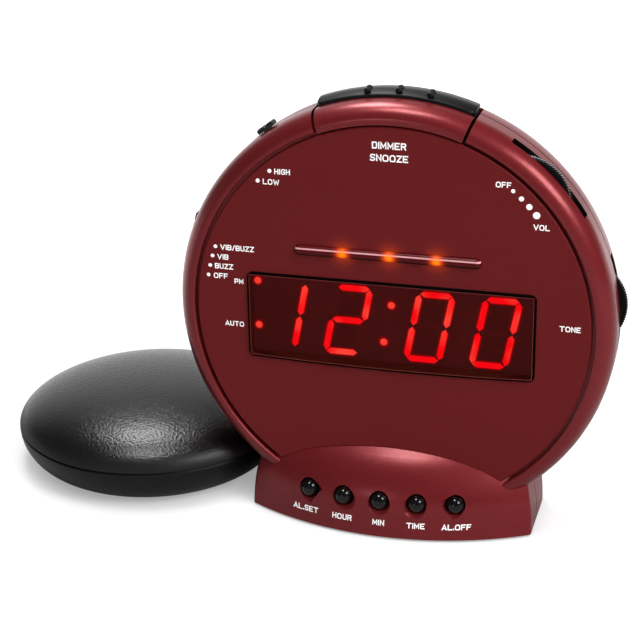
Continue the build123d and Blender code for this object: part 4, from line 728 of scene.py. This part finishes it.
# Painted shade: the lens turns near black along its lower edge.
gap_shade_mask = add(tree, "ShaderNodeMapRange", {0: height, 1: (BAR_Z - GAP_SHADE_LOW) * MM, 2: (BAR_Z - GAP_SHADE_HIGH) * MM})
dark = add(tree, "ShaderNodeMix", {0: gap_shade_mask.outputs[0], 6: colour("#120304"), 7: deep.outputs[2]},
           data_type="RGBA")
body = add(tree, "ShaderNodeMix", {0: line.outputs[0], 6: dark.outputs[2], 7: colour("#e6a6aa")},
           data_type="RGBA")
close(tree, add(tree, "ShaderNodeBsdfPrincipled", {
    "Base Color": body.outputs[2], "Roughness": 0.14, "IOR": 1.22,
    "Emission Color": amber.outputs[2], "Emission Strength": power.outputs[0]}))
dress(material, "light_bar_lens")

halo = lamp_glow(face_tree, HALO_REACH)
power = add(face_tree, "ShaderNodeMath", {0: halo.outputs[0], 1: HALO_POWER}, operation="MULTIPLY")
where = add(face_tree, "ShaderNodeTexCoord").outputs["Object"]
off = add(face_tree, "ShaderNodeVectorMath", {0: where, 1: WINDOW_MIDDLE}, operation="SUBTRACT")
folded = add(face_tree, "ShaderNodeVectorMath", {0: off.outputs[0]}, operation="ABSOLUTE")
span = add(face_tree, "ShaderNodeSeparateXYZ", {0: folded.outputs[0]}).outputs
wall = add(face_tree, "ShaderNodeMath", {0: span["Y"], 1: WALL_DEPTH}, operation="GREATER_THAN")
for axis, half in (("X", WINDOW_HALF.x), ("Z", WINDOW_HALF.z)):
    near = add(face_tree, "ShaderNodeMath", {0: span[axis], 1: half + WALL_MARGIN}, operation="LESS_THAN")
    wall = add(face_tree, "ShaderNodeMath", {0: wall.outputs[0], 1: near.outputs[0]}, operation="MULTIPLY")
power = add(face_tree, "ShaderNodeMath", {0: wall.outputs[0], 1: WALL_POWER, 2: power.outputs[0]},
            operation="MULTIPLY_ADD")
face_tree.links.new(power.outputs[0], face_lacquer.inputs["Emission Strength"])
face_lacquer.inputs["Emission Color"].default_value = colour("#e84c08")
print("halo of three lamps on the face paint")

# %% [markdown]
# ## Print on the face and the foot
# The controls are marked with white screen print in a plain bold sans. A text object could do this, but its
# built-in font is lighter and rounder. So each letter is a few strokes on a small grid, drawn as a band with
# mitred corners. A stroke marked with a tilde has its corners cut to a curve. On the foot the band is bent to
# the round front: each point moves to the depth of the surface there. The ink has a faint light of its own,
# because the photograph shows it whiter than these lamps make it.

# %% Ink
white_ink, tree = blank("white_screen_print")
where = add(tree, "ShaderNodeTexCoord").outputs["Object"]
film = add(tree, "ShaderNodeTexNoise", {"Vector": where, "Scale": 1 / (0.4 * MM), "Detail": 2.0})
tone = add(tree, "ShaderNodeMapRange", {0: film.outputs[0], 3: 0.94, 4: 1.0})
ink = add(tree, "ShaderNodeCombineColor", {0: tone.outputs[0], 1: tone.outputs[0], 2: tone.outputs[0]})
close(tree, add(tree, "ShaderNodeBsdfPrincipled", {
    "Base Color": ink.outputs[0], "Roughness": 0.5,
    "Emission Color": (1, 1, 1, 1), "Emission Strength": 0.2}))

# %% Letters
INK = 0.03
STROKE, LETTER_GAP, CAP, WIDE = 1.8, 1.2, 8.0, 1.12
GLYPHS = {
    "A": ("00 38 60", "12 52"), "B": ("00 08", "~08 38 58 54 34 04", "~04 34 54 50 30 00"),
    "D": ("00 08", "~08 28 58 50 20 00"),
    "E": ("50 00 08 58", "04 44"), "F": ("00 08 58", "04 44"),
    "G": ("~57 58 08 00 50 52", "52 54 34"),
    "H": ("00 08", "50 58", "04 54"), "I": ("00 08",), "L": ("08 00 50",), "M": ("00 08 32 68 60",),
    "N": ("00 08 50 58",), "O": ("~30 00 08 68 60 30",), "P": ("00 08", "~08 38 58 53 33 03"),
    "R": ("00 08", "~08 38 58 54 34 04", "34 50"), "S": ("~57 58 08 04 54 50 00 01",),
    "T": ("08 68", "38 30"),
    "U": ("~08 03 00 50 53 58",), "V": ("08 30 68",), "W": ("08 20 46 60 88",),
    "Z": ("08 58 00 50",), "/": ("00 38",), ".": ("00 01",),
}


def rounded(line):
    """A line with its corners cut twice, which leaves a smooth curve between the same ends."""
    for turn in range(2):
        cut = [line[0]]
        for one, two in zip(line, line[1:]):
            cut += [one.lerp(two, 0.25), one.lerp(two, 0.75)]
        line = cut + [line[-1]]
    return line


def letter_lines(text, height):
    unit = height / (CAP + STROKE)
    x, lines = 0.0, []
    for letter in text:
        strokes = []
        for code in GLYPHS[letter]:
            line = [Vector((int(p[0]) * WIDE, int(p[1]))) for p in code.strip("~").split()]
            strokes.append(rounded(line) if code[0] == "~" else line)
        lines += [[(p + Vector((x, 0))) * unit for p in stroke] for stroke in strokes]
        x += max(p.x for stroke in strokes for p in stroke) + STROKE + LETTER_GAP
    return lines, (x - LETTER_GAP - STROKE) * unit, STROKE * unit


def band_sides(line, width):
    sides = []
    for k, point in enumerate(line):
        into = (point - line[k - 1]).normalized() if k else (line[1] - point).normalized()
        out = (line[k + 1] - point).normalized() if k + 1 < len(line) else into
        ahead = (into + out).normalized()
        normal = Vector((-ahead.y, ahead.x))
        reach = width / 2 / max(0.45, normal.dot(Vector((-out.y, out.x))))
        shift = ahead * width / 2 * ((k + 1 == len(line)) - (k == 0))
        sides.append((point + shift + normal * reach, point + shift - normal * reach))
    return sides


def lay_word(whole, text, x0, z0, height, align, depth):
    lines, length, width = letter_lines(text, height)
    start = x0 - length * {"LEFT": 0.0, "CENTER": 0.5}[align]
    for line in lines:
        rings = []
        for left, right in band_sides(line, width):
            ring = []
            for side, lift in ((left, INK), (right, INK), (right, 0), (left, 0)):
                x, z = start + side.x, z0 + side.y
                ring.append(whole.verts.new(Vector((x, depth(x, z) - lift, z)) * MM))
            rings.append(ring)
        for one, two in zip(rings, rings[1:]):
            for k in range(4):
                whole.faces.new((one[k], one[k - 1], two[k - 1], two[k]))
        whole.faces.new(rings[0])
        whole.faces.new(rings[-1][::-1])


def print_piece(name, words, depth):
    whole = bmesh.new()
    for word in words:
        lay_word(whole, *word, depth)
    bmesh.ops.recalc_face_normals(whole, faces=whole.faces)
    mesh = bpy.data.meshes.new(name)
    whole.to_mesh(mesh)
    whole.free()
    mesh.materials.append(white_ink)
    piece = bpy.data.objects.new(name, mesh)
    bpy.context.scene.collection.objects.link(piece)
    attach(piece, "case")
    print(name, len(words), "words,", len(mesh.polygons), "faces")


print(len(GLYPHS), "letters and signs on a grid", round(CAP), "units high")

# %% Words
WORDS = (
    ("DIMMER", 0.0, 55.0, 2.15, "CENTER"), ("SNOOZE", 0.0, 51.2, 2.15, "CENTER"),
    ("HIGH", -35.2, 44.9, 1.75, "LEFT"), ("LOW", -38.9, 41.5, 1.75, "LEFT"),
    ("VIB/BUZZ", -53.2, 19.3, 1.75, "LEFT"), ("VIB", -54.3, 16.1, 1.75, "LEFT"),
    ("BUZZ", -55.2, 13.0, 1.75, "LEFT"), ("OFF", -55.7, 9.8, 1.75, "LEFT"),
    ("OFF", 34.1, 45.7, 1.75, "CENTER"), ("VOL", 45.6, 33.4, 1.75, "CENTER"),
    ("TONE", 55.1, 2.2, 1.75, "CENTER"),
    ("PM", -47.7, 8.5, 1.65, "CENTER"), ("AUTO", -49.6, -5.8, 1.65, "CENTER"),
)
FOOT_WORDS = (("AL.SET", -25.4, 4.7), ("HOUR", -12.8, 4.6), ("MIN", -0.8, 4.55), ("TIME", 10.95, 4.45),
              ("AL.OFF", 23.4, 4.3))
FOOT_LETTER = 1.85
SWEEP_Y, TOE_LOW, TOE_HIGH = 77.0, (0.7, 89.1), (18.4, 86.6)


def foot_front(x, z):
    """The depth of the foot's upright front, which is round and leans back between two heights."""
    (z0, radius0), (z1, radius1) = TOE_LOW, TOE_HIGH
    radius = radius0 + (radius1 - radius0) * (z - z0) / (z1 - z0)
    return SWEEP_Y - math.sqrt(radius ** 2 - x ** 2)


print_piece("face_print", [(t, x, FACE_HEIGHT + z, h, a) for t, x, z, h, a in WORDS], lambda x, z: 0.0)
print_piece("foot_print", [(t, x, z, FOOT_LETTER, "CENTER") for t, x, z in FOOT_WORDS], foot_front)

# %% [markdown]
# The dots beside the words sit on an arc, and beside the volume wheel they grow. One Geometry Nodes tree
# makes all three rows: it places points on an arc, puts a small disc on each and sizes it along the row. Two
# short functions serve this tree and the next one. The first opens a tree with named inputs. The second runs
# it, keeps the plain mesh and takes the modifier away.

# %% Open and run a node tree
FACING = (math.pi / 2, 0, 0)


def open_tree(name, inputs):
    tree = bpy.data.node_groups.new(name, "GeometryNodeTree")
    tree.interface.new_socket("Geometry", in_out="OUTPUT", socket_type="NodeSocketGeometry")
    keys = {}
    for label, kind in inputs:
        socket = tree.interface.new_socket(label, in_out="INPUT", socket_type="NodeSocket" + kind)
        keys[label] = socket.identifier
    return tree, keys, add(tree, "NodeGroupInput").outputs


def run_tree(name, tree, keys, values):
    carrier = bpy.data.objects.new(name, bpy.data.meshes.new(name))
    bpy.context.scene.collection.objects.link(carrier)
    modifier = carrier.modifiers.new(tree.name, "NODES")
    modifier.node_group = tree
    for label, value in values.items():
        modifier[keys[label]] = value
    mesh = bpy.data.meshes.new_from_object(carrier.evaluated_get(bpy.context.evaluated_depsgraph_get()))
    carrier.modifiers.remove(modifier)
    carrier.data = mesh
    return carrier, mesh


# %% Tree for a row of dots
DISC_SIDES = 20
dots, dot_keys, given = open_tree("dots_on_an_arc", (
    ("Count", "Int"), ("Arc Radius", "Float"), ("First Angle", "Float"), ("Last Angle", "Float"),
    ("First Size", "Float"), ("Last Size", "Float"), ("Material", "Material")))
arc_points = add(dots, "GeometryNodePoints", {"Count": given["Count"]})
index = add(dots, "GeometryNodeInputIndex")
last = add(dots, "ShaderNodeMath", {0: given["Count"], 1: 1.0}, operation="SUBTRACT")
share = add(dots, "ShaderNodeMath", {0: index.outputs[0], 1: last.outputs[0]}, operation="DIVIDE")
angle = add(dots, "ShaderNodeMapRange", {
    0: share.outputs[0], 3: given["First Angle"], 4: given["Last Angle"]})
cosine = add(dots, "ShaderNodeMath", {0: angle.outputs[0]}, operation="COSINE")
sine = add(dots, "ShaderNodeMath", {0: angle.outputs[0]}, operation="SINE")
flat = add(dots, "ShaderNodeCombineXYZ", {0: cosine.outputs[0], 2: sine.outputs[0]})
place = add(dots, "ShaderNodeVectorMath", {0: flat.outputs[0], "Scale": given["Arc Radius"]},
            operation="SCALE")
placed = add(dots, "GeometryNodeSetPosition", {0: arc_points.outputs[0], "Position": place.outputs[0]})
disc = add(dots, "GeometryNodeMeshCylinder", {"Vertices": DISC_SIDES, "Radius": 1.0, "Depth": 1.0})
turned = add(dots, "GeometryNodeTransform", {0: disc.outputs[0], "Rotation": FACING})
wide = add(dots, "ShaderNodeMapRange", {0: share.outputs[0], 3: given["First Size"], 4: given["Last Size"]})
scale = add(dots, "ShaderNodeCombineXYZ", {0: wide.outputs[0], 1: INK * MM, 2: wide.outputs[0]})
copies = add(dots, "GeometryNodeInstanceOnPoints", {
    0: placed.outputs[0], "Instance": turned.outputs[0], "Scale": scale.outputs[0]})
solid = add(dots, "GeometryNodeRealizeInstances", {0: copies.outputs[0]})
inked = add(dots, "GeometryNodeSetMaterial", {0: solid.outputs[0], "Material": given["Material"]})
add(dots, "NodeGroupOutput", {0: inked.outputs[0]})
print("dots_on_an_arc tree,", len(dots.nodes), "nodes")


# %% Rows of dots
def dot_row(name, count, radius, first, final, small, large):
    """A row of dots on the face: sizes in mm from the drum's middle, angles in degrees."""
    carrier, mesh = run_tree(name, dots, dot_keys, {
        "Count": count, "Arc Radius": radius * MM, "First Angle": math.radians(first),
        "Last Angle": math.radians(final), "First Size": small * MM, "Last Size": large * MM,
        "Material": white_ink})
    mesh.transform(Matrix.Translation((0, -INK / 2 * MM, FACE_HEIGHT * MM)))
    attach(carrier, "case")
    print(name, count, "dots", len(mesh.polygons), "faces")


dot_row("level_dots", 2, radius=58.7, first=128.9, final=133.8, small=0.65, large=0.65)
dot_row("mode_dots", 4, radius=58.5, first=159.9, final=169.6, small=0.6, large=0.6)
dot_row("volume_dots", 4, radius=58.0, first=50.4, final=40.6, small=0.62, large=1.08)

# %% [markdown]
# ## Thumb wheels
# The volume and tone wheels are moulded with a diamond knurl, so that a finger grips them. The CAD model has
# plain teeth. A knurl could be a bump, but at the rim's edge it has to be real. One Geometry Nodes tree bends
# a small grid into a ring and presses every second point in, like a draughts board: that leaves rows of
# little pyramids. Two smooth discs and the shaft close it. The points stay inside the CAD radius.

# %% Knurled wheel
SHAFT_SIDES, WELD = 24, 0.01 * MM
knurl, wheel_keys, given = open_tree("knurled_wheel", (
    ("Radius", "Float"), ("Width", "Float"), ("Points Round", "Int"), ("Rows", "Int"), ("Depth", "Float"),
    ("Shaft Radius", "Float"), ("Shaft Length", "Float"), ("Shaft Middle", "Float"),
    ("Material", "Material")))
steps, points = {}, {}
for label in ("Points Round", "Rows"):
    steps[label] = add(knurl, "ShaderNodeMath", {0: given[label], 1: 2.0}, operation="MULTIPLY").outputs[0]
    points[label] = add(knurl, "ShaderNodeMath", {0: steps[label], 1: 1.0}, operation="ADD").outputs[0]
grid = add(knurl, "GeometryNodeMeshGrid", {
    "Size X": 1.0, "Size Y": 1.0, "Vertices X": points["Points Round"], "Vertices Y": points["Rows"]})
place = add(knurl, "ShaderNodeSeparateXYZ", {0: add(knurl, "GeometryNodeInputPosition").outputs[0]}).outputs
share, count = {}, {}
for axis, label in (("X", "Points Round"), ("Y", "Rows")):
    share[axis] = add(knurl, "ShaderNodeMath", {0: place[axis], 1: 0.5}, operation="ADD").outputs[0]
    product = add(knurl, "ShaderNodeMath", {0: share[axis], 1: steps[label]}, operation="MULTIPLY")
    count[axis] = add(knurl, "ShaderNodeMath", {0: product.outputs[0]}, operation="ROUND").outputs[0]
both = add(knurl, "ShaderNodeMath", {0: count["X"], 1: count["Y"]}, operation="ADD")
low = add(knurl, "ShaderNodeMath", {0: both.outputs[0], 1: 2.0}, operation="FLOORED_MODULO")
last_row = add(knurl, "ShaderNodeMath", {0: steps["Rows"], 1: 0.5}, operation="SUBTRACT")
first_edge = add(knurl, "ShaderNodeMath", {0: count["Y"], 1: 0.5}, operation="LESS_THAN")
last_edge = add(knurl, "ShaderNodeMath", {0: count["Y"], 1: last_row.outputs[0]}, operation="GREATER_THAN")
for rim_edge in (first_edge, last_edge):
    low = add(knurl, "ShaderNodeMath", {0: low.outputs[0], 1: rim_edge.outputs[0]}, operation="MAXIMUM")
sunk = add(knurl, "ShaderNodeMath", {0: low.outputs[0], 1: given["Depth"]}, operation="MULTIPLY")
reach = add(knurl, "ShaderNodeMath", {0: given["Radius"], 1: sunk.outputs[0]}, operation="SUBTRACT")
angle = add(knurl, "ShaderNodeMath", {0: share["X"], 1: 2 * math.pi}, operation="MULTIPLY")
bend = []
for operation in ("COSINE", "SINE"):
    turn = add(knurl, "ShaderNodeMath", {0: angle.outputs[0]}, operation=operation)
    arm = add(knurl, "ShaderNodeMath", {0: turn.outputs[0], 1: reach.outputs[0]}, operation="MULTIPLY")
    bend.append(arm.outputs[0])
back = add(knurl, "ShaderNodeMath", {0: place["Y"], 1: given["Width"]}, operation="MULTIPLY")
bent = add(knurl, "ShaderNodeCombineXYZ", {0: bend[0], 1: back.outputs[0], 2: bend[1]})
ring = add(knurl, "GeometryNodeSetPosition", {0: grid.outputs[0], "Position": bent.outputs[0]})
disc_radius = add(knurl, "ShaderNodeMath", {0: given["Radius"], 1: given["Depth"]}, operation="SUBTRACT")
disc = add(knurl, "GeometryNodeMeshCircle", {
    "Vertices": steps["Points Round"], "Radius": disc_radius.outputs[0]}, fill_type="NGON")
shaft = add(knurl, "GeometryNodeMeshCylinder", {
    "Vertices": SHAFT_SIDES, "Radius": given["Shaft Radius"], "Depth": given["Shaft Length"]})
half_width = add(knurl, "ShaderNodeMath", {0: given["Width"], 1: 0.5}, operation="MULTIPLY").outputs[0]
front = add(knurl, "ShaderNodeMath", {0: half_width, 1: -1.0}, operation="MULTIPLY").outputs[0]
joined = add(knurl, "GeometryNodeJoinGeometry")
for shape, y in ((shaft, given["Shaft Middle"]), (disc, half_width), (disc, front)):
    at = add(knurl, "ShaderNodeCombineXYZ", {1: y})
    moved = add(knurl, "GeometryNodeTransform", {
        0: shape.outputs[0], "Translation": at.outputs[0], "Rotation": FACING})
    knurl.links.new(moved.outputs[0], joined.inputs[0])
knurl.links.new(ring.outputs[0], joined.inputs[0])
welded = add(knurl, "GeometryNodeMergeByDistance", {0: joined.outputs[0], "Distance": WELD})
solid = add(knurl, "GeometryNodeRealizeInstances", {0: welded.outputs[0]})
finished = add(knurl, "GeometryNodeSetMaterial", {0: solid.outputs[0], "Material": given["Material"]})
add(knurl, "NodeGroupOutput", {0: finished.outputs[0]})
print("knurled_wheel tree,", len(knurl.nodes), "nodes")

# %% Both wheels
RIM_R, WHEEL_R, WHEEL_T, SHAFT_R = 68.45, 14.1, 2.8, 2.0
KNURL_POINTS, KNURL_ROWS, KNURL_DEPTH, CREST_SHEEN_DEPTH = 104, 2, 0.5, 0.2


def knurl_plastic_with_painted_sheen(name, axis):
    """Black plastic, painted light grey on the points that are furthest from the wheel's axis: a painted sheen
    on the crests.
    """
    material, tree, plastic, _ = black_moulding(
        name, "#050506", rough=0.34, grain_mm=0.4, depth_mm=0.02, strength=0.3, bend=1.3)
    radius = add(tree, "ShaderNodeVectorMath", {0: off_axis(tree, axis)}, operation="LENGTH")
    wear_and_crest_sheen = add(tree, "ShaderNodeMapRange", {
        0: radius.outputs["Value"], 1: (WHEEL_R - CREST_SHEEN_DEPTH) * MM, 2: WHEEL_R * MM})
    # Painted sheen: the knurl's crests get a light grey base colour.
    shade = add(tree, "ShaderNodeMix", {0: wear_and_crest_sheen.outputs[0], 6: colour("#030303"), 7: colour("#a4a4a6")},
                data_type="RGBA")
    tree.links.new(shade.outputs[2], plastic.inputs["Base Color"])
    shine = add(tree, "ShaderNodeMapRange", {0: wear_and_crest_sheen.outputs[0], 3: 0.75, 4: 0.3})
    tree.links.new(shine.outputs[0], plastic.inputs["Roughness"])
    return material


def knurled_wheel(name, body, degrees, proud, front, shaft_start, shaft_end):
    """A wheel that stands proud of the drum's rim at an angle. Front and shaft are depths in mm."""
    middle = front + WHEEL_T / 2
    out = RIM_R + proud - WHEEL_R
    angle = math.radians(degrees)
    axis = Vector((out * math.cos(angle), middle, FACE_HEIGHT + out * math.sin(angle))) * MM
    carrier, mesh = run_tree(name, knurl, wheel_keys, {
        "Radius": WHEEL_R * MM, "Width": WHEEL_T * MM, "Points Round": KNURL_POINTS, "Rows": KNURL_ROWS,
        "Depth": KNURL_DEPTH * MM, "Shaft Radius": SHAFT_R * MM,
        "Shaft Length": (shaft_end - shaft_start) * MM,
        "Shaft Middle": ((shaft_start + shaft_end) / 2 - middle) * MM,
        "Material": knurl_plastic_with_painted_sheen(name + "_abs", axis)})
    mesh.transform(Matrix.Translation(axis))
    shell = bmesh.new()
    shell.from_mesh(mesh)
    bmesh.ops.recalc_face_normals(shell, faces=shell.faces)
    shell.to_mesh(mesh)
    shell.free()
    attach(carrier, body)
    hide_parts(name.replace("knurled_", ""))
    print(name, len(mesh.polygons), "faces")


knurled_wheel("knurled_volume_wheel", "volume", degrees=45.5, proud=1.5, front=4.5,
              shaft_start=5.9, shaft_end=9.5)
knurled_wheel("knurled_tone_wheel", "tone", degrees=6.2, proud=2.35, front=12.4,
              shaft_start=8.5, shaft_end=13.8)

# %% [markdown]
# ## Size of the dressed model
# The script prints the CAD model's box and the dressed model's box. The dressed model
# has to stay inside the CAD model's box.

# %% Finish
visual_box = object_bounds()
for label, box in (("cad", cad_box), ("visual", visual_box)):
    print(label, "box", [[round(c, 4) for c in v] for v in box])
